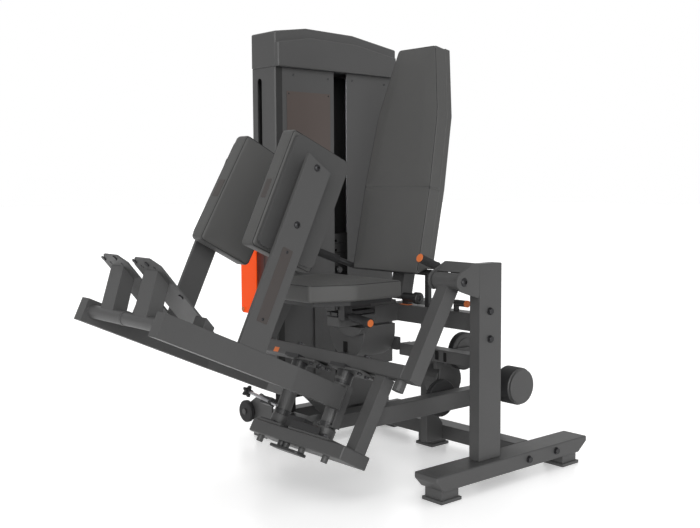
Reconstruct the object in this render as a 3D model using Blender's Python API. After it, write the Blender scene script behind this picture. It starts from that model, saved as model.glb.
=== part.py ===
"""Multi hip machine: a seat, a tilting leg carriage with two swinging arms, and a weight tower.

Units are metres, +Z is up. The sizes below are laid out from a point under the right upright:
X runs to the machine's right upright, the user sits facing -Y. The empty "machine" shifts that
layout so that the origin is the middle of the whole machine's footprint, on the floor.
"""
import bmesh
import bpy
from math import asin, cos, degrees, pi, radians, sin, sqrt, tan
from mathutils import Matrix, Vector

# General fits
GAP = 0.0003             # left between pieces that touch
WELD = 0.001             # depth to which welded tubes run into each other
RUN_FIT = 0.0003         # radial clearance of what turns on a shaft
EDGE = 0.003             # rounding of the tubes' long edges
BRACKET_T = 0.008        # thickness of the welded plates
SHEET_T = 0.003          # thickness of the tower's folded sheets
ROUND_SIDES = 24
SMALL_SIDES = 12

# Footprint: half of the layout's whole reach, so that the origin is its middle
ORIGIN_X = 0.5220
ORIGIN_Y = 0.2832
FLOOR_Z = 0.015          # the floor's height in the layout

# Feet and floor beams
FOOT_H = 0.055           # underside of the beams
FLANGE_H = 0.010
FOOT_W = 0.072
FLANGE_W = 0.086
BEAM_TOP = 0.105
FOOT_BEAM_W = 0.100
FOOT_BEAM_Y = (-0.262, 0.465)
UNDERCUT = 0.030
FLOOR_BEAM_Y = (0.203, 0.273)

# Right upright
UPRIGHT_W = 0.042
UPRIGHT_D = 0.100
UPRIGHT_TOP = 0.721
PLINTH_H = 0.006
PLINTH_LIP = 0.012

# Tilt pivot of the carriage
PIVOT_Y = -0.1187
PIVOT_Z = 0.6771
SHAFT_R = 0.0125
SLEEVE_R = 0.026
SLEEVE_X = (-0.096, 0.0105)
NOSE_R = 0.0275
TILT = 25.0
LEAN = 5.0               # the carriage's tubes lean this much more than its arms

# User's middle plane, seat and backrest
USER_X = -0.447
SEAT_TOP = 0.667
SEAT_PAD_T = 0.058
SEAT_HALF = 0.185
SEAT_FRONT_HALF = 0.127
SEAT_Y = (-0.452, -0.118)
SEAT_SHOULDER_Y = -0.309
SEAT_PAN_T = 0.015
SEAT_TUBE_Z = (0.505, 0.563)
SEAT_TUBE_HALF = 0.031
SEAT_TUBE_FRONT = -0.100
RAIL_T = 0.015
RAIL_HALF = 0.025
RAIL_Y = (-0.270, 0.000)
SLIDE_FIT = 0.0006
COLUMN_X = (-0.426, -0.394)
COLUMN_Y = (0.120, 0.168)
RECLINE = 11.5
BACK_FACE_Y = 0.041      # front face of the backrest at BACK_FACE_Z
BACK_FACE_Z = 1.076
BACK_T = 0.062
BACK_BOARD_T = 0.015
BACK_POST_D = 0.050
BACK_POST_HALF = 0.030
BACK_BOTTOM = -0.380     # heights along the backrest, from BACK_FACE_Z
BACK_TOP = 0.384

# Handles
BAR_R = 0.0105
GRIP_R = 0.0145
HANDLE_HALF = 0.247
HANDLE_FRONT = (-0.095, 0.738)
HANDLE_ELBOW = (-0.005, 0.701)
HANDLE_CROSS_Z = 0.678
LEFT_FRONT = (-0.131, 0.737)
LEFT_JOINT = 0.1965      # how far out the left handle bends into the cross bar
GRIP_LENGTH = 0.082
STAY_X = (-0.298, -0.280)

# Cross tubes between the upright and the seat column
CROSS_TUBE_Y = (0.000, 0.050)
UPPER_TUBE_Z = (0.505, 0.563)
SLOTTED_TUBE_Z = (0.387, 0.428)
COVER_X = (-0.642, -0.454)
COVER_R = 0.052
COVER_DROP = 0.020

# Pulley boom behind the carriage and its drums
BOOM_X = (-0.225, -0.175)
BOOM_Z = (0.226, 0.283)
BOOM_REAR = 0.345
PULLEY_R = 0.063
AXLE_R = 0.008

# Tilt plunger
PLUNGER_X = (-0.150, -0.088)
PLUNGER_R = 0.0075

# Weight tower
TOWER_FRONT = -0.872
TOWER_REAR = -1.020
TOWER_Y = (-0.178, 0.393)
TOWER_TOP = 1.400
SHROUD_BOTTOM = 0.255
SHROUD_LIP = 0.028
POST_X = (-0.980, -0.930)
POST_W = 0.060
POST_INSET = 0.058
HEAD_OUTLINE = [(-0.180, 0.127), (-0.039, 0.149), (0.183, 0.145), (0.405, 0.110)]
HEAD_DROP = 0.037        # from the cap's outline down to the header plate's
HEADER_T = 0.024
PLACARD_Y = (-0.130, 0.069)
PLACARD_Z = (1.050, 1.315)
PLACARD_T = 0.002
BASE_FRONT_X = (-0.843, -0.763)
BASE_REAR_X = (-1.030, -0.970)
BASE_Y = (-0.185, 0.385)
STACK_X = -0.955
STACK_Y = 0.1195
STACK_HALF_X = 0.050
STACK_HALF_Y = 0.145
SLOT_HALF = 0.0315
SLOT_BOTTOM = 0.180
PLATE_H = 0.037
PLATES_STANDING = 12
PLATES_LIFTED = 4
STACK_BASE_Z = 0.160
SHELF_T = 0.012
BUMPER_H = 0.020
GUIDE_R = 0.0095
GUIDE_SPREAD = 0.100
SELECTOR_R = 0.009
PIN_R = 0.004
HOLE_FIT = 0.001

# Transport wheels
WHEEL_R = 0.042
WHEEL_W = 0.020
WHEEL_X = -1.052
WHEEL_Z = 0.110
WHEEL_PLATE_T = 0.006

# Carriage tubes, measured in the leaning frame at the pivot
SIDE_TUBE_X = (-0.0735, -0.030)
SIDE_TUBE_Y = (-0.012, 0.038)
CROSS_Z = (-0.337, -0.292)
LOWER_TUBE_X = (-0.195, -0.150)
LOWER_TUBE_Y = (-0.003, 0.042)
BOTTOM_Z = (-0.6224, -0.5795)
BOTTOM_Y = (-0.048, 0.067)
BOTTOM_X = (-0.632, -0.150)
BEARING_PLATE_T = 0.012

# Arms, measured from the user's middle plane and in the carriage's own frame
HINGE_OUT = 0.122
HINGE_Y = -0.040
HINGE_Z = (-0.5170, -0.3885)
HOUSING_R = 0.028
ARM_OUT = (0.204, 0.248)
ARM_Z = (-0.474, -0.405)
ARM_FRONT = -0.786
ARM_BEND = -0.320
PAD_TUBE_Y = (-0.541, -0.447)
PAD_TUBE_TOP = (0.175, 0.155)    # front and rear edge
PAD_BOARD_T = 0.015
PAD_T = 0.066
PAD_Y = (-0.580, -0.349)
PAD_GAP = 0.032          # between the pad's board and its flat bar
PAD_BAR_T = 0.012
LEFT_PAD_IN = 0.032      # the left pad and its bar stand this much further in
LEFT_BAR_BACK = 0.016    # and the bar's front edge this much further back
LEFT_PAD_Y = (-0.565, -0.368)
LEFT_PAD_TURN = 4.0      # the left pad is turned back by this much in its own plane
PAD_BOLTS = ((-0.494, 0.144), (-0.495, -0.031))
PAD_Z = (-0.130, 0.238)
FOOT_BAR_R = 0.020
FOOT_BAR_YZ = (-0.758, -0.437)
BAR_INNER_OUT = 0.0005
FOOT_RING_R = 0.0215
FOOT_RING_W = 0.006
FOOT_POST_OUT = (0.062, 0.136)
FOOT_POST_Y = (-0.772, -0.727)
FOOT_POST_LEAN = 0.020
FOOT_PLATE_OUT = (0.021, 0.167)
FOOT_PLATE_TOP = (-0.826, -0.2752)
FOOT_PLATE_SLOPE = 26.0
FOOT_PLATE_L = 0.313
FOOT_PLATE_T = 0.005
FOOT_PLATE_CUT = (0.033, 0.026)
FOOT_HOLE_R = 0.006
FOOT_HOLE_SPREAD = 0.035


# Scene and materials

for old in list(bpy.data.objects):
    bpy.data.objects.remove(old, do_unlink=True)


def material(name, colour, roughness, metallic=0.0):
    made = bpy.data.materials.new(name)
    made.use_nodes = True
    shader = made.node_tree.nodes["Principled BSDF"]
    shader.inputs["Base Color"].default_value = (*colour, 1.0)
    shader.inputs["Roughness"].default_value = roughness
    shader.inputs["Metallic"].default_value = metallic
    return made


PAINT = material("dark_grey_paint", (0.10, 0.10, 0.10), 0.45)
PAINT_DARK = material("black_paint", (0.03, 0.03, 0.03), 0.50)
LEATHER = material("grey_upholstery", (0.08, 0.08, 0.08), 0.60)
RUBBER = material("black_rubber", (0.02, 0.02, 0.02), 0.80)
STEEL = material("bright_steel", (0.55, 0.55, 0.55), 0.30, 1.0)
IRON = material("weight_iron", (0.04, 0.04, 0.04), 0.55)
ORANGE = material("orange_plastic", (0.90, 0.16, 0.02), 0.40)
BOARD = material("black_board", (0.03, 0.03, 0.03), 0.70)


# Building blocks

def empty(name, at, turn=0.0, parent=None):
    """A joint or layout frame, turned about X by the given degrees."""
    made = bpy.data.objects.new(name, None)
    made.location = at
    made.rotation_euler = (radians(turn), 0.0, 0.0)
    made.parent = parent
    bpy.context.collection.objects.link(made)
    return made


def piece(name, bm, finish, parent, at=(0.0, 0.0, 0.0), turn=0.0, edge=0.0, smooth=False):
    """Turn a bmesh into a named object, placed under its parent."""
    bmesh.ops.recalc_face_normals(bm, faces=bm.faces)
    mesh = bpy.data.meshes.new(name)
    bm.to_mesh(mesh)
    bm.free()
    mesh.materials.append(finish)
    made = bpy.data.objects.new(name, mesh)
    made.location = at
    made.rotation_euler = (radians(turn), 0.0, 0.0)
    made.parent = parent
    bpy.context.collection.objects.link(made)
    if smooth:
        mesh.shade_smooth()
        mesh.set_sharp_from_angle(angle=radians(35))
    if edge:
        bevel = made.modifiers.new("edges", "BEVEL")
        bevel.width = edge
        bevel.segments = 1
        bevel.limit_method = "ANGLE"
        bevel.angle_limit = radians(40)
    return made


def cut(target, name, bm):
    """Cut a hidden shape out of an object; the shape shares the object's frame."""
    tool = piece(name, bm, PAINT_DARK, target.parent, target.location)
    tool.rotation_euler = target.rotation_euler
    tool.hide_render = True
    tool.display_type = "WIRE"
    boolean = target.modifiers.new(name, "BOOLEAN")
    boolean.operation = "DIFFERENCE"
    boolean.solver = "EXACT"
    boolean.object = tool


def weld(target, bm, edge=0.0):
    """Join a shape that shares the object's frame to it, as one welded body."""
    name = f"{target.name}_weld_{len(target.modifiers)}"
    part = piece(name, bm, target.data.materials[0], target.parent, target.location, edge=edge)
    part.rotation_euler = target.rotation_euler
    part.hide_render = True
    part.display_type = "WIRE"
    union = target.modifiers.new(name, "BOOLEAN")
    union.operation = "UNION"
    union.solver = "EXACT"
    union.object = part


def box(bm, x, y, z):
    """A block between two values on each axis."""
    size = Vector((x[1] - x[0], y[1] - y[0], z[1] - z[0]))
    middle = Vector((x[0] + x[1], y[0] + y[1], z[0] + z[1])) / 2
    place = Matrix.Translation(middle) @ Matrix.Diagonal((*size, 1.0))
    bmesh.ops.create_cube(bm, size=1.0, matrix=place)


def extrude(bm, outline, axis, low, high):
    """A flat outline, carried along X, Y or Z between two values."""
    def point(u, v, w):
        return {"X": (w, u, v), "Y": (u, w, v), "Z": (u, v, w)}[axis]
    start = [bm.verts.new(point(u, v, low)) for u, v in outline]
    end = [bm.verts.new(point(u, v, high)) for u, v in outline]
    count = len(outline)
    bm.faces.new(start)
    bm.faces.new(end[::-1])
    for i in range(count):
        j = (i + 1) % count
        bm.faces.new((start[i], start[j], end[j], end[i]))


def turned(bm, profile, axis="X", centre=(0.0, 0.0), sides=ROUND_SIDES, phase=0.0):
    """A profile of (distance along the axis, radius) points, turned; a closed ring profile
    ends where it starts, an open one is capped at both ends."""
    closed = profile[0] == profile[-1]
    points = profile[:-1] if closed else profile
    rings = []
    for w, r in points:
        ring = []
        for i in range(sides):
            turn = phase + 2 * pi * i / sides
            u = centre[0] + r * cos(turn)
            v = centre[1] + r * sin(turn)
            ring.append(bm.verts.new({"X": (w, u, v), "Y": (u, w, v), "Z": (u, v, w)}[axis]))
        rings.append(ring)
    pairs = list(zip(rings, rings[1:]))
    if closed:
        pairs.append((rings[-1], rings[0]))
    for a, b in pairs:
        for i in range(sides):
            j = (i + 1) % sides
            bm.faces.new((a[i], a[j], b[j], b[i]))
    if not closed:
        bm.faces.new(rings[0])
        bm.faces.new(rings[-1][::-1])


def rod(bm, axis, centre, radius, low, high, sides=SMALL_SIDES):
    turned(bm, [(low, radius), (high, radius)], axis, centre, sides)


def ring(bm, axis, centre, radius, bore, low, high, sides=ROUND_SIDES):
    turned(bm, [(low, bore), (low, radius), (high, radius), (high, bore), (low, bore)],
           axis, centre, sides)


def arc(centre, radius, start, end, steps):
    """Points on a circle from one angle to another, in degrees."""
    turn = [radians(start + (end - start) * i / steps) for i in range(steps + 1)]
    return [(centre[0] + radius * cos(a), centre[1] + radius * sin(a)) for a in turn]


def swept(bm, path, radius, sides=SMALL_SIDES):
    """A round bar along a path of points, with flat ends."""
    points = [Vector(p) for p in path]
    rings = []
    side = None
    for i, p in enumerate(points):
        ahead = points[min(i + 1, len(points) - 1)] - points[max(i - 1, 0)]
        ahead.normalize()
        if side is None:
            side = ahead.orthogonal().normalized()
        side = (side - ahead * side.dot(ahead)).normalized()
        up = ahead.cross(side)
        rings.append([bm.verts.new(p + (side * cos(a) + up * sin(a)) * radius)
                      for a in [2 * pi * k / sides for k in range(sides)]])
    for a, b in zip(rings, rings[1:]):
        for i in range(sides):
            j = (i + 1) % sides
            bm.faces.new((a[i], a[j], b[j], b[i]))
    bm.faces.new(rings[0])
    bm.faces.new(rings[-1][::-1])


def rounded_path(corners, bend, steps=4):
    """A path through corners, each rounded by a quadratic curve that starts `bend` before it."""
    points = [Vector(corners[0])]
    for before, corner, after in zip(corners, corners[1:], corners[2:]):
        corner = Vector(corner)
        start = corner + (Vector(before) - corner).normalized() * bend
        end = corner + (Vector(after) - corner).normalized() * bend
        for k in range(steps + 1):
            t = k / steps
            points.append(start * (1 - t) ** 2 + corner * 2 * t * (1 - t) + end * t ** 2)
    points.append(Vector(corners[-1]))
    return points


def cushion(bm, stations, depth, crown, axes):
    """A crowned pad lofted through stations (place along, low side, high side, fullness).

    Each section is flat at the back and bulges at its sides, and its front is an arch of height
    `crown`. `axes` maps (across, deep, along) to X, Y and Z by three vectors."""
    across, deep, along = (Vector(a) for a in axes)
    rings = []
    for v, low, high, full in stations:
        middle = (low + high) / 2
        half = (high - low) / 2
        tuck = 0.006 + 0.004 * (1 - full)
        shoulder = 0.018
        section = [(-half + tuck, 0.0), (-half, 0.30 * depth * full)]
        section.append((-half, 0.70 * depth * full))
        for s in (-1.0, -0.55, 0.0, 0.55, 1.0):
            rise = (depth - crown) + crown * (1 - s * s)
            section.append((s * (half - shoulder), rise * full))
        section.append((half, 0.70 * depth * full))
        section.append((half, 0.30 * depth * full))
        section.append((half - tuck, 0.0))
        rings.append([bm.verts.new(across * (middle + u) + deep * w + along * v)
                      for u, w in section])
    count = len(rings[0])
    for a, b in zip(rings, rings[1:]):
        for i in range(count):
            j = (i + 1) % count
            bm.faces.new((a[i], a[j], b[j], b[i]))
    bm.faces.new(rings[0])
    bm.faces.new(rings[-1][::-1])


def pad_stations(low, high, sides, roll=0.024, extra=()):
    """Stations along a pad: rolled ends, then the given extra ones between them.

    `sides` gives the low and high edge at a place along the pad."""
    ends = ((0.0, 0.55, 0.45), (0.012, 0.12, 0.80), (roll, 0.0, 1.0))
    made = []
    for step, inset, full in ends:
        a, b = sides(low + step)
        made.append((low + step, a + inset * roll, b - inset * roll, full))
    for v, full in extra:
        made.append((v, *sides(v), full))
    for step, inset, full in reversed(ends):
        a, b = sides(high - step)
        made.append((high - step, a + inset * roll, b - inset * roll, full))
    return made


machine = empty("machine", (ORIGIN_X, ORIGIN_Y, -FLOOR_Z))


# Feet, floor beams and right upright

def feet(target, spots):
    """Weld square feet, each with a flange on the floor, to a beam."""
    bm = bmesh.new()
    flange = FLANGE_W * sqrt(0.5)
    block = FOOT_W * sqrt(0.5)
    top = FLOOR_Z + FLANGE_H
    profile = [(FLOOR_Z, flange), (top, flange), (top, block), (FOOT_H + WELD, block)]
    for spot in spots:
        turned(bm, profile, "Z", spot, 4, pi / 4)
    weld(target, bm)


def right_foot_beam():
    bm = bmesh.new()
    front, rear = FOOT_BEAM_Y
    lip = 0.018
    outline = [(front, BEAM_TOP), (front, BEAM_TOP - lip), (front + UNDERCUT, FOOT_H),
               (rear - 1.45 * UNDERCUT, FOOT_H), (rear, BEAM_TOP - lip), (rear, BEAM_TOP)]
    extrude(bm, outline, "X", -FOOT_BEAM_W / 2, FOOT_BEAM_W / 2)
    beam = piece("right_foot_beam", bm, PAINT, machine, edge=EDGE)
    feet(beam, [(0.0, front + 0.0695), (0.0, rear - 0.0785)])


def floor_beam():
    bm = bmesh.new()
    box(bm, (BASE_FRONT_X[1] + GAP, -FOOT_BEAM_W / 2 - GAP), FLOOR_BEAM_Y, (FOOT_H, BEAM_TOP))
    beam = piece("floor_beam", bm, PAINT, machine, edge=EDGE)
    feet(beam, [(COLUMN_X[0] - 0.060, sum(FLOOR_BEAM_Y) / 2)])


def right_upright():
    bm = bmesh.new()
    w = UPRIGHT_W / 2
    d = UPRIGHT_D / 2
    plinth_top = BEAM_TOP + PLINTH_H
    box(bm, (-w, w), (-d, d), (BEAM_TOP + GAP, UPRIGHT_TOP - GAP))
    post = piece("right_upright", bm, PAINT, machine, edge=EDGE * 0.7)
    plinth = bmesh.new()
    box(plinth, (-w - PLINTH_LIP, w + PLINTH_LIP), (-d - PLINTH_LIP, d + PLINTH_LIP),
        (BEAM_TOP + GAP, plinth_top))
    weld(post, plinth)


def pivot_bracket():
    """Two nosed plates and a cover on the upright's top, holding the right end of the pivot."""
    bm = bmesh.new()
    half_d = UPRIGHT_D / 2
    neck = PIVOT_Y + 0.034
    nose = arc((PIVOT_Y, PIVOT_Z), NOSE_R, 100, 260, 8)
    back = -half_d - GAP
    top = UPRIGHT_TOP + WELD
    outer = [(back, top), (neck, top)] + nose + [(back, UPRIGHT_TOP - 0.088)]
    outer_x = UPRIGHT_W / 2
    extrude(bm, outer, "X", outer_x - BRACKET_T, outer_x)
    inner_x = SLEEVE_X[0] - 0.004
    inner = [(neck + 0.060, top), (neck, top)] + nose
    inner += [(neck + 0.060, UPRIGHT_TOP - 0.040)]
    extrude(bm, inner, "X", inner_x - BRACKET_T, inner_x)
    bracket = piece("pivot_bracket", bm, PAINT, machine)
    cover = bmesh.new()
    box(cover, (inner_x - BRACKET_T, outer_x), (neck, half_d),
        (UPRIGHT_TOP + GAP, UPRIGHT_TOP + BRACKET_T))
    weld(bracket, cover)
    web = bmesh.new()
    box(web, (inner_x - BRACKET_T + 0.001, outer_x - 0.001), (neck, neck + BRACKET_T),
        (PIVOT_Z + SLEEVE_R + 0.003, UPRIGHT_TOP + WELD))
    weld(bracket, web)
    bore = bmesh.new()
    rod(bore, "X", (PIVOT_Y, PIVOT_Z), SHAFT_R + GAP, inner_x - 0.02, outer_x + 0.01, ROUND_SIDES)
    cut(bracket, "pivot_bore_cutter", bore)
    return inner_x, outer_x


def pivot_shafts(inner_x, outer_x):
    """Shafts on which the carriage tilts: a headed one on the right, a flanged stub on the left."""
    centre = (PIVOT_Y, PIVOT_Z)
    head = 0.024
    left = inner_x - BRACKET_T - GAP
    right = outer_x + GAP
    bm = bmesh.new()
    turned(bm, [(left - 0.018, head - 0.005), (left - 0.014, head), (left, head), (left, SHAFT_R),
                (right, SHAFT_R), (right, head), (right + 0.004, head), (right + 0.006, 0.018)],
           "X", centre)
    piece("right_pivot_shaft", bm, PAINT_DARK, machine, smooth=True)
    flange = TOWER_FRONT + GAP
    end = left_sleeve()[1] + GAP
    bm = bmesh.new()
    turned(bm, [(flange, 0.045), (flange + 0.006, 0.045), (flange + 0.006, SHAFT_R),
                (end, SHAFT_R), (end, 0.022), (end + 0.006, 0.020)], "X", centre)
    piece("left_pivot_shaft", bm, PAINT_DARK, machine, smooth=True)


def left_sleeve():
    """The mirror of the right sleeve, as far as the tower's flange lets it reach."""
    inner = 2 * USER_X - SLEEVE_X[0]
    return TOWER_FRONT + 2 * GAP + 0.006, inner


# Frame that carries the seat, the backrest and the drums

def seat_frame():
    """Cross tube from the upright, the seat tube that stands on the column, and its rail."""
    bm = bmesh.new()
    box(bm, (USER_X + SEAT_TUBE_HALF - WELD, -UPRIGHT_W / 2 - GAP), CROSS_TUBE_Y, UPPER_TUBE_Z)
    frame = piece("seat_frame", bm, PAINT, machine, edge=0.002)
    tube = bmesh.new()
    box(tube, (USER_X - SEAT_TUBE_HALF, USER_X + SEAT_TUBE_HALF),
        (SEAT_TUBE_FRONT, COLUMN_Y[1] + 0.040), (SEAT_TUBE_Z[0], SEAT_TUBE_Z[1] + 0.0005))
    weld(frame, tube)
    rail = bmesh.new()
    box(rail, (USER_X - RAIL_HALF, USER_X + RAIL_HALF), RAIL_Y,
        (SEAT_TUBE_Z[1] - WELD, SEAT_TUBE_Z[1] + RAIL_T))
    weld(frame, rail)


def slotted_tube():
    """Lower cross tube with two slots in its front and the upper pulley's bracket behind."""
    slotted = bmesh.new()
    left = COLUMN_X[1] - 0.013
    box(slotted, (left, -UPRIGHT_W / 2 - GAP), CROSS_TUBE_Y, SLOTTED_TUBE_Z)
    tube = piece("slotted_tube", slotted, PAINT, machine, edge=0.002)
    low, width, y, z = DRUMS["upper_pulley"]
    plate = low + width + 0.003
    bracket = bmesh.new()
    box(bracket, (plate, plate + BRACKET_T), (CROSS_TUBE_Y[1] - WELD, y + 0.020),
        (SLOTTED_TUBE_Z[0] + 0.004, SLOTTED_TUBE_Z[1] - 0.004))
    weld(tube, bracket)
    weld(tube, axle(plate + WELD, low - 0.003, y, z))
    link = bmesh.new()
    box(link, (left + 0.001, left + 0.012), (CROSS_TUBE_Y[1] - WELD, COLUMN_Y[0] - GAP),
        (SLOTTED_TUBE_Z[0] - 0.014, SLOTTED_TUBE_Z[1] - 0.002))
    weld(tube, link)
    slots = bmesh.new()
    middle = sum(SLOTTED_TUBE_Z) / 2
    for x in (-0.215, -0.185):
        box(slots, (x - 0.004, x + 0.004), (CROSS_TUBE_Y[0] - 0.01, CROSS_TUBE_Y[0] + 0.010),
            (middle - 0.014, middle + 0.014))
    cut(tube, "slot_cutter", slots)


def seat_column():
    """Column in front of the floor beam up to the seat tube, with a gusseted foot."""
    bm = bmesh.new()
    front, rear = COLUMN_Y
    beam = FLOOR_BEAM_Y[0] - GAP
    outline = [(front, FOOT_H), (beam, FOOT_H), (beam, BEAM_TOP + 0.010), (rear, BEAM_TOP + 0.055),
               (rear, SEAT_TUBE_Z[0] - GAP), (front, SEAT_TUBE_Z[0] - GAP)]
    extrude(bm, outline, "X", *COLUMN_X)
    column = piece("seat_column", bm, PAINT, machine, edge=0.002)
    low, width, y, z = DRUMS["middle_drum"]
    weld(column, axle(COLUMN_X[1] - WELD, low + width + 0.003, y, z))


def drum_cover():
    """Half-round cover hung under the seat tube, with a slot in its front."""
    bm = bmesh.new()
    top = SEAT_TUBE_Z[0] - COVER_DROP
    centre = (-0.016, top - COVER_R)
    outline = [(centre[0] + COVER_R, top), (centre[0] - 0.022, top)]
    outline += arc(centre, COVER_R, 129, 270, 8)
    outline += arc(centre, COVER_R, 285, 360, 4)
    extrude(bm, outline, "X", *COVER_X)
    cover = piece("drum_cover", bm, PAINT, machine)
    hanger = bmesh.new()
    tube_left = USER_X - SEAT_TUBE_HALF
    box(hanger, (tube_left + 0.003, COVER_X[1] - 0.002), (-0.030, 0.020),
        (top - WELD, SEAT_TUBE_Z[0] - GAP))
    weld(cover, hanger)
    slot = bmesh.new()
    front = centre[0] - COVER_R
    box(slot, (COVER_X[0] + 0.045, COVER_X[0] + 0.065), (front - 0.01, front + 0.020),
        (centre[1] - 0.030, centre[1] + 0.012))
    cut(cover, "cover_slot_cutter", slot)


def backrest():
    """Post, board and crowned cushion; the frame leans back about the user's face point."""
    lean = empty("backrest_face", (USER_X, BACK_FACE_Y, BACK_FACE_Z), -RECLINE, machine)
    board = bmesh.new()
    board_front = BACK_T + GAP
    board_back = board_front + BACK_BOARD_T
    outline = [(-0.160, BACK_BOTTOM + 0.006), (0.160, BACK_BOTTOM + 0.006), (0.165, -0.110),
               (0.149, 0.147), (0.094, BACK_TOP - 0.012), (0.080, BACK_TOP - 0.004),
               (-0.080, BACK_TOP - 0.004), (-0.094, BACK_TOP - 0.012), (-0.149, 0.147),
               (-0.165, -0.110)]
    extrude(board, outline, "Y", board_front, board_back)
    frame = piece("backrest_frame", board, BOARD, lean)
    front = board_back - WELD
    foot = SEAT_TUBE_Z[1] + RAIL_T + GAP - BACK_FACE_Z

    def floor_at(deep):
        """Height along the lean at which a point this deep stands on the seat tube."""
        return (foot + deep * sin(radians(RECLINE))) / cos(radians(RECLINE))

    rear = front + BACK_POST_D
    post = bmesh.new()
    outline = [(front, floor_at(front)), (rear, floor_at(rear)), (rear, 0.140), (front, 0.200)]
    extrude(post, outline, "X", -BACK_POST_HALF, BACK_POST_HALF)
    weld(frame, post)

    def sides(v):
        if v < -0.108:
            half = 0.168
        elif v < 0.147:
            half = 0.168 - 0.016 * (v + 0.108) / 0.255
        else:
            half = 0.152 - 0.058 * (v - 0.147) / (BACK_TOP - 0.147)
        return -half, half

    seam = -0.112
    extra = [(seam - 0.012, 1.0), (seam, 0.93), (seam + 0.012, 1.0), (0.147, 1.0), (0.26, 1.0)]
    pad = bmesh.new()
    cushion(pad, pad_stations(BACK_BOTTOM, BACK_TOP, sides, extra=extra), BACK_T, 0.006,
            ((1, 0, 0), (0, -1, 0), (0, 0, 1)))
    piece("backrest_pad", pad, LEATHER, lean, at=(0.0, BACK_T, 0.0), smooth=True)


def back_post_front(z):
    """Y of the backrest post's front face at a height."""
    lean = radians(RECLINE)
    deep = BACK_T + GAP + BACK_BOARD_T - WELD
    return BACK_FACE_Y + deep / cos(lean) + (z - BACK_FACE_Z) * tan(lean)


def handles():
    """One bent bar under the backrest, a grip sleeve on each end and a stay on the right."""
    cross_z = HANDLE_CROSS_Z
    cross_y = back_post_front(cross_z) - BAR_R - 2 * GAP
    path = [(USER_X - HANDLE_HALF, *LEFT_FRONT), (USER_X - LEFT_JOINT, 0.0, cross_z + 0.003),
            (USER_X - LEFT_JOINT + 0.040, cross_y, cross_z),
            (USER_X + HANDLE_HALF - 0.030, cross_y, cross_z),
            (USER_X + HANDLE_HALF, *HANDLE_ELBOW), (USER_X + HANDLE_HALF, *HANDLE_FRONT)]
    bar = bmesh.new()
    swept(bar, rounded_path(path, 0.014, 3), BAR_R)
    held = piece("handle_bar", bar, PAINT_DARK, machine, smooth=True)
    stay = bmesh.new()
    box(stay, STAY_X, (cross_y - 0.007, cross_y + 0.007),
        (UPPER_TUBE_Z[1] + GAP, cross_z))
    weld(held, stay)
    bore = (BAR_R + GAP) / cos(pi / SMALL_SIDES)
    for name, front, bend in (("left_grip", path[0], path[1]), ("right_grip", path[5], path[4])):
        sleeve = bmesh.new()
        ring(sleeve, "Y", (0.0, 0.0), GRIP_R, bore, 0.0, GRIP_LENGTH, SMALL_SIDES)
        made = piece(name, sleeve, RUBBER, machine, at=front, smooth=True)
        along = Vector(bend) - Vector(front)
        made.rotation_euler = along.to_track_quat("Y", "Z").to_euler()


# Pulley boom, drums and the stop that the carriage rests on

def lower_tube_rear(z):
    """Y of the rear face of the carriage's lower tube at a height, at rest."""
    lean = radians(TILT + LEAN)
    return PIVOT_Y + LOWER_TUBE_Y[1] / cos(lean) + (z - PIVOT_Z) * tan(lean)


STOP_T = 0.012
STOP_GAP = 0.001


def pulley_boom():
    """Boom on its post, with the rear drum's bearing box and two axles."""
    bm = bmesh.new()
    back = (STOP_T + STOP_GAP + GAP) / cos(radians(TILT + LEAN))
    outline = [(lower_tube_rear(BOOM_Z[0]) + back, BOOM_Z[0]), (BOOM_REAR, BOOM_Z[0]),
               (BOOM_REAR, BOOM_Z[1]), (lower_tube_rear(BOOM_Z[1]) + back, BOOM_Z[1])]
    extrude(bm, outline, "X", *BOOM_X)
    boom = piece("pulley_boom", bm, PAINT, machine, edge=0.002)
    post = bmesh.new()
    box(post, (BOOM_X[0] + 0.003, BOOM_X[1] - 0.003), FLOOR_BEAM_Y,
        (BEAM_TOP + GAP, BOOM_Z[0] + WELD))
    weld(boom, post)
    low, width, y, z = DRUMS["rear_drum"]
    house = bmesh.new()
    box(house, (BOOM_X[1] - WELD, low - GAP), (y - 0.035, y + 0.035), (z - 0.050, z + 0.052))
    weld(boom, house)
    weld(boom, axle(BOOM_X[1], low + width + 0.003, y, z))
    low, width, y, z = DRUMS["boom_pulley"]
    weld(boom, axle(BOOM_X[0] + WELD, low - 0.003, y, z))


def rubber_stop():
    """Pad on the boom's slanted end, on which the carriage's lower tube rests."""
    bm = bmesh.new()
    slant = 1 / cos(radians(TILT + LEAN))
    low = BOOM_Z[0] + 0.004
    high = BOOM_Z[1] - 0.004
    near = STOP_GAP * slant
    far = (STOP_GAP + STOP_T) * slant
    outline = [(lower_tube_rear(low) + near, low), (lower_tube_rear(low) + far, low),
               (lower_tube_rear(high) + far, high), (lower_tube_rear(high) + near, high)]
    extrude(bm, outline, "X", BOOM_X[0] + 0.004, BOOM_X[1] - 0.004)
    piece("rubber_stop", bm, RUBBER, machine)


def drum_profile(width, radius, bore, grooved):
    """Ring profile of a drum: a chamfered rim, with one rope groove or plain, around a bore."""
    chamfer = 0.003
    points = [(0.0, bore), (0.0, radius - chamfer), (chamfer, radius)]
    if grooved:
        land = width / 3
        depth = 0.007
        points += [(land, radius), (width / 2, radius - depth), (2 * land, radius)]
    points += [(width - chamfer, radius), (width, radius - chamfer), (width, bore), (0.0, bore)]
    return points


DRUMS = {
    "rear_drum": (BOOM_X[1] + 0.0103, 0.066, 0.285, 0.281),
    "middle_drum": (-0.345, 0.060, 0.124, 0.297),
    "boom_pulley": (BOOM_X[0] - 0.0283, 0.022, 0.040, 0.2545),
    "upper_pulley": (-0.236, 0.024, 0.130, 0.4075),
}


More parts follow.
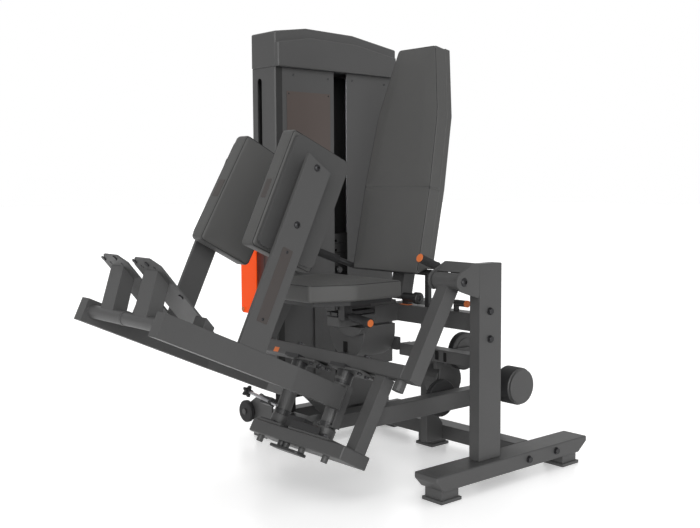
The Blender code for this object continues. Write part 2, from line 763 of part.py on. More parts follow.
def drums():
    """Drums and pulleys, each on its own axle along X."""
    for name, (low, width, y, z) in DRUMS.items():
        bm = bmesh.new()
        turned(bm, drum_profile(width, PULLEY_R, AXLE_R + RUN_FIT, "pulley" in name))
        piece(name, bm, PAINT, machine, at=(low, y, z), smooth=True)


def axle(root, tip, y, z):
    """An axle from its root to a thin retaining cap at its tip."""
    bm = bmesh.new()
    way = 1 if tip > root else -1
    profile = [(root, AXLE_R), (tip - 0.001 * way, AXLE_R), (tip - 0.001 * way, 0.013),
               (tip + 0.003 * way, 0.012)]
    turned(bm, profile, "X", (y, z), SMALL_SIDES)
    return bm


# Weight tower

def tower_base():
    """Two beams under the tower, ties between them, feet, and the transport wheels' plates."""
    z = (FOOT_H, BEAM_TOP)
    bm = bmesh.new()
    box(bm, BASE_FRONT_X, BASE_Y, z)
    box(bm, BASE_REAR_X, BASE_Y, z)
    base = piece("tower_base", bm, PAINT, machine, edge=0.002)
    ties = bmesh.new()
    for span in post_spans():
        box(ties, (BASE_REAR_X[1] - WELD, BASE_FRONT_X[0] + WELD), span,
            (FOOT_H + 0.002, BEAM_TOP - 0.002))
    weld(base, ties)
    inset = FOOT_BEAM_W / 2
    feet(base, [(sum(x) / 2, y) for x in (BASE_FRONT_X, BASE_REAR_X)
                for y in (BASE_Y[0] + inset, BASE_Y[1] - inset)])
    fold = WHEEL_X + 0.075
    outline = [(WHEEL_X - 0.018, WHEEL_Z - 0.020), (fold, WHEEL_Z - 0.042),
               (fold + 0.075, WHEEL_Z - 0.042), (fold + 0.075, WHEEL_Z + 0.060),
               (fold, WHEEL_Z + 0.078), (WHEEL_X + 0.005, WHEEL_Z + 0.034),
               (WHEEL_X - 0.018, WHEEL_Z + 0.020)]
    for name, edge_y, side in (("near_wheel", BASE_Y[0], -1), ("far_wheel", BASE_Y[1], 1)):
        plate = bmesh.new()
        outer = edge_y + side * WHEEL_PLATE_T
        extrude(plate, outline, "Y", *sorted((edge_y - side * WELD, outer)))
        weld(base, plate)
        pin = bmesh.new()
        tip = outer + side * (WHEEL_W + 0.003)
        profile = [(outer - side * WELD, AXLE_R), (tip, AXLE_R), (tip, 0.012),
                   (tip + side * 0.003, 0.011)]
        turned(pin, profile, "Y", (WHEEL_X, WHEEL_Z), SMALL_SIDES)
        weld(base, pin)
        wheel = bmesh.new()
        start = side * (WHEEL_PLATE_T + 0.001)
        low, high = sorted((start, start + side * WHEEL_W))
        bore = AXLE_R + RUN_FIT
        soft = 0.004
        turned(wheel, [(low, bore), (low, WHEEL_R - soft), (low + soft, WHEEL_R),
                       (high - soft, WHEEL_R), (high, WHEEL_R - soft), (high, bore),
                       (low, bore)], "Y")
        piece(name, wheel, RUBBER, machine, at=(WHEEL_X, edge_y, WHEEL_Z), smooth=True)


def post_spans():
    """Y spans of the two posts inside the tower."""
    near = TOWER_Y[0] + POST_INSET
    far = TOWER_Y[1] - POST_INSET
    return (near, near + POST_W), (far - POST_W, far)


def tower_posts():
    """Two posts inside the tower and the shelf between them that carries the stack."""
    bm = bmesh.new()
    near, far = post_spans()
    for span in (near, far):
        box(bm, POST_X, span, (BEAM_TOP + GAP, TOWER_TOP - GAP))
    posts = piece("tower_posts", bm, PAINT, machine, edge=0.002)
    shelf = bmesh.new()
    box(shelf, (STACK_X - 0.022, STACK_X + 0.022), (near[1] - WELD, far[0] + WELD),
        (STACK_BASE_Z, STACK_BASE_Z + SHELF_T))
    weld(posts, shelf)


def folded_side(bm, side):
    """A folded side sheet: front lip, chamfer, side and rear lip, of even thickness."""
    outer_y = TOWER_Y[0] if side < 0 else TOWER_Y[1]
    cham = 0.009
    inner = SHEET_T

    def place(x, inward):
        return (x, outer_y - side * inward)

    outline = [place(TOWER_FRONT, SHROUD_LIP), place(TOWER_FRONT, cham),
               place(TOWER_FRONT - cham, 0.0), place(TOWER_REAR, 0.0),
               place(TOWER_REAR, SHROUD_LIP), place(TOWER_REAR + inner, SHROUD_LIP),
               place(TOWER_REAR + inner, inner), place(TOWER_FRONT - cham - 0.001, inner),
               place(TOWER_FRONT - inner, cham + 0.001), place(TOWER_FRONT - inner, SHROUD_LIP)]
    extrude(bm, outline, "Z", SHROUD_BOTTOM, TOWER_TOP - GAP)


def tower_covers():
    for name, side in (("near_shroud", -1), ("far_shroud", 1)):
        bm = bmesh.new()
        folded_side(bm, side)
        made = piece(name, bm, PAINT, machine)
        if side < 0:
            slot = bmesh.new()
            middle = TOWER_REAR + 0.045
            half = 0.0145
            ends = (SHROUD_BOTTOM + 0.120, TOWER_TOP - 0.050)
            outline = arc((middle, ends[1]), half, 0, 180, 6) + arc((middle, ends[0]), half, 180, 360, 6)
            extrude(slot, outline, "Y", TOWER_Y[0] - 0.01, TOWER_Y[0] + SHEET_T + 0.005)
            cut(made, "shroud_slot_cutter", slot)
    panel_y = (TOWER_Y[0] + SHROUD_LIP + GAP, TOWER_Y[1] - SHROUD_LIP - GAP)
    low = STACK_Y - SLOT_HALF
    high = STACK_Y + SLOT_HALF
    top = TOWER_TOP - GAP
    bottom = BEAM_TOP + GAP
    outline = [(panel_y[0], SHROUD_BOTTOM), (panel_y[0], top), (low, top), (low, SLOT_BOTTOM),
               (high, SLOT_BOTTOM), (high, top), (panel_y[1], top), (panel_y[1], SHROUD_BOTTOM),
               (high + 0.080, bottom), (low - 0.080, bottom)]
    front = bmesh.new()
    extrude(front, outline, "X", TOWER_FRONT - SHEET_T, TOWER_FRONT)
    piece("front_panel", front, PAINT, machine)
    rear = bmesh.new()
    box(rear, (TOWER_REAR, TOWER_REAR + SHEET_T), panel_y, (SHROUD_BOTTOM, TOWER_TOP - GAP))
    piece("rear_panel", rear, PAINT, machine)
    placard = bmesh.new()
    box(placard, (TOWER_FRONT + GAP, TOWER_FRONT + PLACARD_T), PLACARD_Y, PLACARD_Z)
    piece("placard", placard, BOARD, machine)


def header():
    """Gabled cap on the tower and the header plate in front of it."""
    bm = bmesh.new()
    near, far = HEAD_OUTLINE[0][0], HEAD_OUTLINE[-1][0]
    top = [(y, TOWER_TOP + rise) for y, rise in HEAD_OUTLINE]
    cap = [(near, TOWER_TOP)] + top + [(far, TOWER_TOP)]
    extrude(bm, cap, "X", TOWER_REAR - 0.004, TOWER_FRONT - GAP)
    piece("header_cap", bm, PAINT, machine, edge=0.004)
    plate = bmesh.new()
    upper = [(y, z - HEAD_DROP) for y, z in top]
    upper[0] = (near + 0.033, upper[0][1] - 0.004)
    upper[-1] = (far - 0.018, upper[-1][1] + 0.002)
    face = [(upper[0][0], TOWER_TOP)] + upper + [(upper[-1][0], TOWER_TOP)]
    extrude(plate, face, "X", TOWER_FRONT, TOWER_FRONT + HEADER_T)
    piece("header_panel", plate, PAINT, machine, edge=0.004)


def plate_bottom(index):
    return STACK_BASE_Z + SHELF_T + BUMPER_H + 2 * GAP + index * PLATE_H


def plates(name, first, count, parent, base):
    """A pile of weight plates: guide holes, a middle hole, a seam and a pin groove per plate."""
    bm = bmesh.new()
    floor = plate_bottom(first) - base
    seam = 0.0012
    half = (STACK_HALF_X, STACK_HALF_Y)
    levels = []
    for i in range(count):
        z = floor + i * PLATE_H
        levels += [(z + (GAP if i == 0 else 0.0), 0.002), (z + seam, 0.0), (z + PLATE_H - seam, 0.0)]
    levels.append((floor + count * PLATE_H, 0.002))
    rings = []
    for z, inset in levels:
        x, y = half[0] - inset, half[1] - inset
        rings.append([bm.verts.new(c) for c in ((x, y, z), (-x, y, z), (-x, -y, z), (x, -y, z))])
    for a, b in zip(rings, rings[1:]):
        for i in range(4):
            j = (i + 1) % 4
            bm.faces.new((a[i], a[j], b[j], b[i]))
    bm.faces.new(rings[0])
    bm.faces.new(rings[-1][::-1])
    made = piece(name, bm, IRON, parent, at=(STACK_X, STACK_Y, 0.0))
    holes = bmesh.new()
    low = floor - 0.01
    high = floor + count * PLATE_H + 0.01
    for y in (-GUIDE_SPREAD, GUIDE_SPREAD):
        rod(holes, "Z", (0.0, y), GUIDE_R + HOLE_FIT, low, high, 8)
    rod(holes, "Z", (0.0, 0.0), SELECTOR_R + HOLE_FIT, low, high, 8)
    cut(made, name + "_hole_cutter", holes)
    grooves = bmesh.new()
    for i in range(count):
        z = floor + i * PLATE_H + 0.004
        box(grooves, (-SELECTOR_R - 0.008, STACK_HALF_X + 0.01), (-PIN_R - HOLE_FIT, PIN_R + HOLE_FIT),
            (z, z + 2 * (PIN_R + HOLE_FIT)))
    cut(made, name + "_groove_cutter", grooves)


def weight_stack():
    """Guide rods, standing plates, and the lifted plates with selector rod and pin."""
    bottom = STACK_BASE_Z + SHELF_T + GAP
    seat = bottom + BUMPER_H
    for name, side in (("near_guide_rod", -1), ("far_guide_rod", 1)):
        bm = bmesh.new()
        turned(bm, [(bottom, 0.020), (seat, 0.020), (seat, GUIDE_R), (TOWER_TOP - GAP, GUIDE_R)],
               "Z", (STACK_X, STACK_Y + side * GUIDE_SPREAD), SMALL_SIDES)
        piece(name, bm, STEEL, machine, smooth=True)
    plates("weight_stack", 0, PLATES_STANDING, machine, 0.0)
    lift_z = plate_bottom(PLATES_STANDING)
    lift = empty("stack_lift", (0.0, 0.0, lift_z), 0.0, machine)
    plates("lifted_plates", PLATES_STANDING, PLATES_LIFTED, lift, lift_z)
    top = plate_bottom(PLATES_STANDING + PLATES_LIFTED) - lift_z
    selector = bmesh.new()
    turned(selector, [(plate_bottom(0) + 0.004 - lift_z, SELECTOR_R), (top + GAP, SELECTOR_R),
                      (top + GAP, 0.020), (top + 0.018, 0.020), (top + 0.030, 0.012),
                      (top + 0.070, 0.012)], "Z", (0.0, 0.0), SMALL_SIDES)
    made = piece("selector_rod", selector, STEEL, lift, at=(STACK_X, STACK_Y, 0.0))
    holes = bmesh.new()
    for i in range(PLATES_STANDING + PLATES_LIFTED):
        level = plate_bottom(i) + 0.004 + PIN_R + HOLE_FIT - lift_z
        rod(holes, "X", (0.0, level), PIN_R + HOLE_FIT, -0.02, 0.02, 8)
    cut(made, "pin_hole_cutter", holes)
    pin = bmesh.new()
    level = 0.004 + PIN_R + HOLE_FIT
    end = STACK_HALF_X + 0.004
    turned(pin, [(-SELECTOR_R - 0.006, PIN_R), (end, PIN_R), (end, 0.011), (end + 0.004, 0.014),
                 (end + 0.020, 0.014), (end + 0.024, 0.010)], "X", (0.0, 0.0), SMALL_SIDES)
    piece("selector_pin", pin, ORANGE, lift, at=(STACK_X, STACK_Y, level), smooth=True)


def side_guard():
    """Bright guard plate on the near side of the tower, on two standoffs."""
    bm = bmesh.new()
    y = TOWER_Y[0] - 0.0255
    x = (TOWER_REAR - 0.056, TOWER_REAR + 0.044)
    z = (0.490, 0.770)
    r = 0.012
    outline = []
    for cx, cz, start in ((x[1] - r, z[1] - r, 0), (x[0] + r, z[1] - r, 90),
                          (x[0] + r, z[0] + r, 180), (x[1] - r, z[0] + r, 270)):
        outline += arc((cx, cz), r, start, start + 90, 3)
    extrude(bm, outline, "Y", y, y + 0.004)
    guard = piece("side_guard", bm, ORANGE, machine)
    posts = bmesh.new()
    for height in (z[0] + 0.040, z[1] - 0.040):
        rod(posts, "Y", (TOWER_REAR + 0.022, height), 0.007, y + 0.002, TOWER_Y[0] - GAP)
    weld(guard, posts)


# Seat on its slide

def seat():
    """Cushion, pan and slider channel; the slide moves along Y on the rail."""
    slide = empty("seat_slide", (USER_X, 0.0, 0.0), 0.0, machine)
    pan_top = SEAT_TOP - SEAT_PAD_T - GAP
    pan_low = pan_top - SEAT_PAN_T

    def sides(v):
        if v < SEAT_SHOULDER_Y:
            share = (v - SEAT_Y[0]) / (SEAT_SHOULDER_Y - SEAT_Y[0])
            half = SEAT_FRONT_HALF + (SEAT_HALF - SEAT_FRONT_HALF) * share
        else:
            half = SEAT_HALF
        return -half, half

    pad = bmesh.new()
    extra = [(SEAT_SHOULDER_Y - 0.010, 1.0), (SEAT_SHOULDER_Y + 0.010, 1.0), (-0.20, 1.0)]
    stations = pad_stations(*SEAT_Y, sides, roll=0.016, extra=extra)
    cushion(pad, stations, SEAT_PAD_T, 0.004, ((1, 0, 0), (0, 0, 1), (0, 1, 0)))
    piece("seat_pad", pad, LEATHER, slide, at=(0.0, 0.0, pan_top + GAP), smooth=True)
    pan = bmesh.new()
    inset = 0.030
    outline = [(-SEAT_FRONT_HALF + 0.016, SEAT_Y[0] + inset),
               (SEAT_FRONT_HALF - 0.016, SEAT_Y[0] + inset),
               (SEAT_HALF - inset, SEAT_SHOULDER_Y), (SEAT_HALF - inset, SEAT_Y[1] - 0.020),
               (-SEAT_HALF + inset, SEAT_Y[1] - 0.020), (-SEAT_HALF + inset, SEAT_SHOULDER_Y)]
    extrude(pan, outline, "Z", pan_low, pan_top)
    plate = piece("seat_pan", pan, PAINT_DARK, slide)
    rail_top = SEAT_TUBE_Z[1] + RAIL_T
    inner = RAIL_HALF + SLIDE_FIT
    outer = inner + 0.012
    roof = rail_top + SLIDE_FIT
    low = SEAT_TUBE_Z[1] + 0.002
    top = pan_low + WELD
    channel = [(-outer, low), (-inner, low), (-inner, roof), (inner, roof), (inner, low),
               (outer, low), (outer, top), (-outer, top)]
    runner = bmesh.new()
    extrude(runner, channel, "Y", -0.268, -0.125)
    weld(plate, runner)
    boss_x = (outer - WELD, outer + 0.030)
    knob_y = -0.247
    knob_z = low - 0.018
    boss = bmesh.new()
    box(boss, boss_x, (knob_y - 0.017, knob_y + 0.017), (knob_z - 0.015, top))
    weld(plate, boss)
    knob = bmesh.new()
    start = boss_x[1] + GAP
    turned(knob, [(0.0, 0.006), (0.014, 0.006), (0.014, 0.0115), (0.018, 0.0135),
                  (0.086, 0.0135), (0.090, 0.0115)], "X", (0.0, 0.0), ROUND_SIDES)
    piece("seat_knob", knob, RUBBER, slide, at=(start, knob_y, knob_z), smooth=True)


def tilt_plunger():
    """Pull pin that locks the tilt: its barrel on a foot on the upper cross tube, and its knob."""
    y = CROSS_TUBE_Y[0] + 0.012
    z = UPPER_TUBE_Z[1] + 0.027
    left, right = PLUNGER_X
    bm = bmesh.new()
    turned(bm, [(left, 0.006), (left + 0.003, PLUNGER_R), (right - 0.012, PLUNGER_R),
                (right - 0.010, 0.006)], "X", (y, z))
    barrel = piece("plunger_barrel", bm, PAINT_DARK, machine, smooth=True)
    foot = bmesh.new()
    box(foot, (left + 0.004, left + 0.014), (y - 0.008, y + 0.008), (UPPER_TUBE_Z[1] + GAP, z))
    weld(barrel, foot)
    knob = bmesh.new()
    turned(knob, [(0.0, 0.006), (0.002, PLUNGER_R), (0.008, PLUNGER_R), (0.010, 0.006)],
           "X", (0.0, 0.0), SMALL_SIDES)
    piece("plunger_knob", knob, ORANGE, machine, at=(right - 0.010 + GAP, y, z), smooth=True)


# Tilting carriage

def mirror_x(span):
    return 2 * USER_X - span[1], 2 * USER_X - span[0]


def coped_tube(name, x, sleeve, pivot):
    """A side tube whose top is welded round the pivot sleeve."""
    front, rear = SIDE_TUBE_Y
    radius = SLEEVE_R - WELD
    top = -0.004
    first = 270 + degrees(asin(front / radius))
    last = 360 + degrees(asin(top / radius))
    saddle = arc((0.0, 0.0), radius, first, last, 7)
    outline = [(front, CROSS_Z[0])] + saddle + [(rear, top), (rear, CROSS_Z[0])]
    bm = bmesh.new()
    extrude(bm, outline, "X", *x)
    tube = piece(name, bm, PAINT, pivot, turn=-LEAN)
    hub = bmesh.new()
    ring(hub, "X", (0.0, 0.0), SLEEVE_R, SHAFT_R + RUN_FIT, *sleeve)
    weld(tube, hub)


def on_lean(z):
    """Height in the arms' frame, on their hinge axis, of a height in the leaning frame."""
    return z / cos(radians(LEAN)) - HINGE_Y * tan(radians(LEAN))


def carriage(pivot):
    """Side tubes with sleeves, cross tube, lower tube, bottom member and the arms' pins."""
    coped_tube("right_side_tube", SIDE_TUBE_X, SLEEVE_X, pivot)
    coped_tube("left_side_tube", mirror_x(SIDE_TUBE_X), left_sleeve(), pivot)
    bm = bmesh.new()
    reach = (mirror_x(SIDE_TUBE_X)[1] + GAP, SIDE_TUBE_X[0] - GAP)
    box(bm, reach, SIDE_TUBE_Y, CROSS_Z)
    cross = piece("cross_tube", bm, PAINT, pivot, turn=-LEAN, edge=EDGE)
    bumper = bmesh.new()
    rod(bumper, "Z", (SIDE_TUBE_X[0] - 0.022, 0.018), 0.019, CROSS_Z[0] - 0.034,
        CROSS_Z[0] + WELD)
    weld(cross, bumper)
    bm = bmesh.new()
    box(bm, BOTTOM_X, BOTTOM_Y, BOTTOM_Z)
    lower = piece("lower_frame", bm, PAINT, pivot, turn=-LEAN, edge=EDGE)
    tube = bmesh.new()
    box(tube, LOWER_TUBE_X, LOWER_TUBE_Y, (BOTTOM_Z[1] - WELD, CROSS_Z[0] - GAP))
    weld(lower, tube)
    stubs = bmesh.new()
    for x in (-0.593, -0.450, -0.368, -0.247):
        rod(stubs, "Z", (x, BOTTOM_Y[0] + 0.030), 0.011, BOTTOM_Z[0] - 0.022, BOTTOM_Z[0] + WELD)
    weld(lower, stubs)
    low = on_lean(BOTTOM_Z[1] + BEARING_PLATE_T / 2)
    high = on_lean(CROSS_Z[0] - BEARING_PLATE_T / 2)
    for name, side in (("right_arm_pin", 1), ("left_arm_pin", -1)):
        x = USER_X + side * HINGE_OUT
        profile = [(low, HOUSING_R), (HINGE_Z[0] - GAP, HOUSING_R),
                   (HINGE_Z[0] - GAP, SHAFT_R), (HINGE_Z[1] + GAP, SHAFT_R),
                   (HINGE_Z[1] + GAP, HOUSING_R), (high, HOUSING_R)]
        bm = bmesh.new()
        turned(bm, profile, "Z", (x, HINGE_Y))
        pin = piece(name, bm, PAINT_DARK, pivot, smooth=True)
        ends = bmesh.new()
        half = 0.036
        box(ends, (x - half, x + half), (-0.056, SIDE_TUBE_Y[1]),
            (CROSS_Z[0] - BEARING_PLATE_T, CROSS_Z[0] - GAP))
        box(ends, (x - half, x + half), (BOTTOM_Y[0] + 0.006, BOTTOM_Y[1] - 0.010),
            (BOTTOM_Z[1] + GAP, BOTTOM_Z[1] + BEARING_PLATE_T))
        ends.transform(Matrix.Rotation(radians(-LEAN), 4, "X"))
        weld(pin, ends)


# Arms with their pads and foot rests

def foot_plate_under(y):
    """Height of the foot plate's underside above a place along the arm, with its gap."""
    slope = radians(FOOT_PLATE_SLOPE)
    top = FOOT_PLATE_TOP[1] - (y - FOOT_PLATE_TOP[0]) * tan(slope)
    return top - (FOOT_PLATE_T + GAP) / cos(slope)


def arm(side, name, pivot):
    """One arm: hub and bent tube, pad tube, board and pad, and the foot rest."""
    hinge = empty(name + "_hinge", (USER_X + side * HINGE_OUT, HINGE_Y, 0.0), 0.0, pivot)

    def place(out, y):
        return side * (out - HINGE_OUT), y - HINGE_Y

    def span(low, high):
        ends = sorted((side * (low - HINGE_OUT), side * (high - HINGE_OUT)))
        return ends[0], ends[1]

    hub_r = 0.026
    tube = bmesh.new()
    wrap = arc((0.0, 0.0), hub_r - WELD, 20, -80, 5)
    wrap = [(side * u, v) for u, v in wrap]
    outline = [place(ARM_OUT[1], ARM_FRONT), place(ARM_OUT[1], ARM_BEND),
               place(ARM_OUT[1] - 0.041, ARM_BEND + 0.232)]
    outline += wrap
    outline += [place(ARM_OUT[0] - 0.0405, ARM_BEND + 0.215),
                place(ARM_OUT[0], ARM_BEND - 0.005), place(ARM_OUT[0], ARM_FRONT)]
    extrude(tube, outline, "Z", *ARM_Z)
    beam = piece(name, tube, PAINT, hinge)
    hub = bmesh.new()
    ring(hub, "Z", (0.0, 0.0), hub_r, SHAFT_R + RUN_FIT, *HINGE_Z)
    weld(beam, hub)

    upright = bmesh.new()
    front, rear = (y - HINGE_Y for y in PAD_TUBE_Y)
    front += LEFT_BAR_BACK if side < 0 else 0.0
    foot = ARM_Z[1] + GAP
    outline = [(front, foot), (rear, foot), (rear, PAD_TUBE_TOP[1]), (front, PAD_TUBE_TOP[0])]
    bar_out = ARM_OUT[1] - (LEFT_PAD_IN if side < 0 else 0.0)
    extrude(upright, outline, "X", *span(bar_out - PAD_BAR_T, bar_out))
    bar = piece(name + "_pad_bar", upright, PAINT, hinge)
    board_out = bar_out - PAD_BAR_T - PAD_GAP
    spacers = bmesh.new()
    for y, z in PAD_BOLTS:
        rod(spacers, "X", (y - HINGE_Y, z), 0.014,
            *span(board_out + GAP, bar_out - PAD_BAR_T + WELD))
    weld(bar, spacers)

    board = bmesh.new()
    inset = 0.010
    outline = []
    r = 0.018
    pad_y = LEFT_PAD_Y if side < 0 else PAD_Y
    middle = (sum(pad_y) / 2 - HINGE_Y, sum(PAD_Z) / 2)
    turn = -LEFT_PAD_TURN if side < 0 else 0.0
    frame = empty(name + "_pad_frame", (0.0, *middle), turn, hinge)
    half_y = (pad_y[1] - pad_y[0]) / 2
    half_z = (PAD_Z[1] - PAD_Z[0]) / 2
    y = (inset - half_y, half_y - inset)
    z = (inset - half_z, half_z - inset)
    for cy, cz, start in ((y[1] - r, z[1] - r, 0), (y[0] + r, z[1] - r, 90),
                          (y[0] + r, z[0] + r, 180), (y[1] - r, z[0] + r, 270)):
        outline += arc((cy, cz), r, start, start + 90, 3)
    extrude(board, outline, "X", *span(board_out - PAD_BOARD_T, board_out))
    piece(name + "_pad_board", board, BOARD, frame)

    def sides(v):
        return -half_y, half_y

    pad = bmesh.new()
    stations = pad_stations(-half_z, half_z, sides, extra=[(0.0, 1.0)])
    cushion(pad, stations, PAD_T, 0.008, ((0, 1, 0), (-side, 0, 0), (0, 0, 1)))
    back = side * (board_out - PAD_BOARD_T - GAP - HINGE_OUT)
    piece(name + "_pad", pad, LEATHER, frame, at=(back, 0.0, 0.0), smooth=True)

    bar_y, bar_z = FOOT_BAR_YZ[0] - HINGE_Y, FOOT_BAR_YZ[1]
    bar = bmesh.new()
    ring_end = BAR_INNER_OUT + FOOT_RING_W
    profile = [(side * (v - HINGE_OUT), r) for v, r in (
        (BAR_INNER_OUT, FOOT_RING_R), (ring_end, FOOT_RING_R), (ring_end, FOOT_BAR_R),
        (ARM_OUT[0] + WELD, FOOT_BAR_R))]
    turned(bar, profile, "X", (bar_y, bar_z))
    weld(beam, bar)
    post_y = [v - HINGE_Y for v in FOOT_POST_Y]
    top_y = [v - FOOT_POST_LEAN for v in post_y]
    outline = [(post_y[1], bar_z), (post_y[0], bar_z)]
    outline += [(v, foot_plate_under(v + HINGE_Y)) for v in top_y]
    post = bmesh.new()
    extrude(post, outline, "X", *span(*FOOT_POST_OUT))
    weld(beam, post)
    heel = (-0.640 - HINGE_Y, -0.606 - HINGE_Y)
    under = [foot_plate_under(v + HINGE_Y) for v in heel]
    outline = [(heel[0], under[1] - 0.020), (heel[1], under[1] - 0.020), (heel[1], under[1]),
               (heel[0], under[0])]
    heel_block = bmesh.new()
    extrude(heel_block, outline, "X", *span(FOOT_PLATE_OUT[1] - 0.020, ARM_OUT[0] + WELD))
    weld(beam, heel_block)

    plate = bmesh.new()
    half = (FOOT_PLATE_OUT[1] - FOOT_PLATE_OUT[0]) / 2
    cut_x, cut_y = FOOT_PLATE_CUT
    outline = [(-half + cut_x, 0.0), (half - cut_x, 0.0), (half, cut_y), (half, FOOT_PLATE_L),
               (-half, FOOT_PLATE_L), (-half, cut_y)]
    extrude(plate, outline, "Z", -FOOT_PLATE_T, 0.0)
    middle = side * (sum(FOOT_PLATE_OUT) / 2 - HINGE_OUT)
    made = piece(name + "_foot_plate", plate, PAINT, hinge,
                 at=(middle, FOOT_PLATE_TOP[0] - HINGE_Y, FOOT_PLATE_TOP[1]),
                 turn=-FOOT_PLATE_SLOPE)
    holes = bmesh.new()
    for x in (-FOOT_HOLE_SPREAD, FOOT_HOLE_SPREAD):
        rod(holes, "Z", (x, cut_y + 0.006), FOOT_HOLE_R, -0.02, 0.02, 8)
    cut(made, name + "_hole_cutter", holes)


right_foot_beam()
floor_beam()
right_upright()
bracket_inner, bracket_outer = pivot_bracket()
pivot_shafts(bracket_inner, bracket_outer)
seat_frame()
slotted_tube()
seat_column()
drum_cover()
backrest()
handles()
pulley_boom()
rubber_stop()
drums()
tower_base()
tower_posts()
tower_covers()
header()
weight_stack()
side_guard()
seat()
tilt_plunger()
tilt = empty("carriage_pivot", (0.0, PIVOT_Y, PIVOT_Z), -TILT, machine)
carriage(tilt)
arm(1, "right_arm", tilt)
arm(-1, "left_arm", tilt)
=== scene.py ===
"""Dresses the multi hip machine: powder-coated steel, upholstered cushions, fittings and a
white studio. Lengths are metres. Places are written in the machine's layout, whose origin is on
the floor under the right upright, and are carried to the frame's own origin by LAYOUT."""
import bpy
import numpy as np
from math import cos, pi, radians
from mathutils import Matrix, Vector


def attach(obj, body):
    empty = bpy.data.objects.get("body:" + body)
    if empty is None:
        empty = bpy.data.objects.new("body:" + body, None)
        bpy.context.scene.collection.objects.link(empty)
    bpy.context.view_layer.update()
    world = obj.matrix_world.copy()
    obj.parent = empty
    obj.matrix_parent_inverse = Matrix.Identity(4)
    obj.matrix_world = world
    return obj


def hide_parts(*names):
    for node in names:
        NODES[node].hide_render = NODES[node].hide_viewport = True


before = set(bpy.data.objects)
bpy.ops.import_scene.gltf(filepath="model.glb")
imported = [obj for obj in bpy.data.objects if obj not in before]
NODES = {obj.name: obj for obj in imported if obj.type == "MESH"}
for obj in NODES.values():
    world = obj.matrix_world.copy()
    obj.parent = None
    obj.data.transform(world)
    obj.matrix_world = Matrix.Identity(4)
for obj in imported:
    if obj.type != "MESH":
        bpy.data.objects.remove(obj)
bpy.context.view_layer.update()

# Places, as in the solids
LAYOUT = Matrix.Translation((0.5220, 0.2832, -0.015))
USER_X = -0.447                      # the user's middle plane
PIVOT_Y, PIVOT_Z = -0.1187, 0.6771   # the axis on which the leg carriage tilts
PIVOT = (LAYOUT @ Matrix.Translation((0.0, PIVOT_Y, PIVOT_Z))
         @ Matrix.Rotation(radians(-25), 4, "X"))
LEAN = PIVOT @ Matrix.Rotation(radians(-5), 4, "X")
BACK = (LAYOUT @ Matrix.Translation((USER_X, 0.041, 1.076))
        @ Matrix.Rotation(radians(-11.5), 4, "X"))
HINGE_OUT = 0.122                    # from the user's middle to the axis of each leg
HINGE_Y = -0.040
SIDES = {"right": 1, "left": -1}
ARMS = {name: PIVOT @ Matrix.Translation((USER_X + side * HINGE_OUT, HINGE_Y, 0.0))
        for name, side in SIDES.items()}
CROSS_TUBE_TOP = 0.5632              # top of the upper cross tube
SEAT_TUBE_END = -0.1004              # front end of the solid's seat tube
PANEL_X = -0.8717                    # front face of the tower's sheets
POST_HALF = 0.021
POST_TOP = 0.7290
FOOT_BEAM_HALF = 0.050


# Finishes

def linear(red, green, blue):
    """Screen colour, 0 to 255 each, as linear light: the standard curve of screens."""
    c = np.array((red, green, blue)) / 255.0
    c = np.where(c <= 0.04045, c / 12.92, ((c + 0.055) / 1.055) ** 2.4)
    return (*c.tolist(), 1.0)


def finish(name, colour, rough, metal=0.0, grain=None, mottle=0.0, soften=0.0, cells=None,
           sheen=0.0, glow=0.0):
    """A finish on Object coordinates: its colour drifts by `mottle` over a hand's breadth, its
    relief is a fine noise (grain: scale, height) or cells like leather's, its edges are rounded
    by `soften`, and `glow` adds emission of its own colour: a painted glow, light from a part
    that is no lamp."""
    made = bpy.data.materials.new(name)
    made.use_nodes = True
    tree = made.node_tree
    shader = tree.nodes["Principled BSDF"]
    shader.inputs["Base Color"].default_value = colour
    shader.inputs["Roughness"].default_value = rough
    shader.inputs["Metallic"].default_value = metal
    shader.inputs["Sheen Weight"].default_value = sheen
    shader.inputs["Emission Color"].default_value = colour
    shader.inputs["Emission Strength"].default_value = glow
    place = tree.nodes.new("ShaderNodeTexCoord").outputs["Object"]

    def noise(scale, detail=2.0):
        """Strength of a noise over the piece's own coordinates."""
        node = tree.nodes.new("ShaderNodeTexNoise")
        node.inputs["Scale"].default_value = scale
        node.inputs["Detail"].default_value = detail
        tree.links.new(place, node.inputs["Vector"])
        return node.outputs["Fac"]

    if mottle:
        mix = tree.nodes.new("ShaderNodeMix")
        mix.data_type = "RGBA"
        drift = noise(7.0, 4.0)
        tree.links.new(drift, mix.inputs["Factor"])
        dark = [c * (1 - mottle) for c in colour[:3]]
        light = [min(1.0, c * (1 + mottle)) for c in colour[:3]]
        mix.inputs["A"].default_value = (*dark, 1.0)
        mix.inputs["B"].default_value = (*light, 1.0)
        tree.links.new(mix.outputs["Result"], shader.inputs["Base Color"])
        rub = tree.nodes.new("ShaderNodeMapRange")
        rub.inputs["To Min"].default_value = rough - 0.05
        rub.inputs["To Max"].default_value = rough + 0.05
        tree.links.new(noise(23.0, 3.0), rub.inputs["Value"])
        tree.links.new(rub.outputs["Result"], shader.inputs["Roughness"])
    normal = None
    if soften:
        bevel = tree.nodes.new("ShaderNodeBevel")
        bevel.samples = 4
        bevel.inputs["Radius"].default_value = soften
        normal = bevel.outputs["Normal"]
    if cells:
        node = tree.nodes.new("ShaderNodeTexVoronoi")
        node.feature = "DISTANCE_TO_EDGE"
        node.inputs["Scale"].default_value = cells[0]
        tree.links.new(place, node.inputs["Vector"])
        normal = relief(tree, node.outputs["Distance"], cells[1], normal)
    if grain:
        normal = relief(tree, noise(grain[0]), grain[1], normal)
    if normal:
        tree.links.new(normal, shader.inputs["Normal"])
    return made


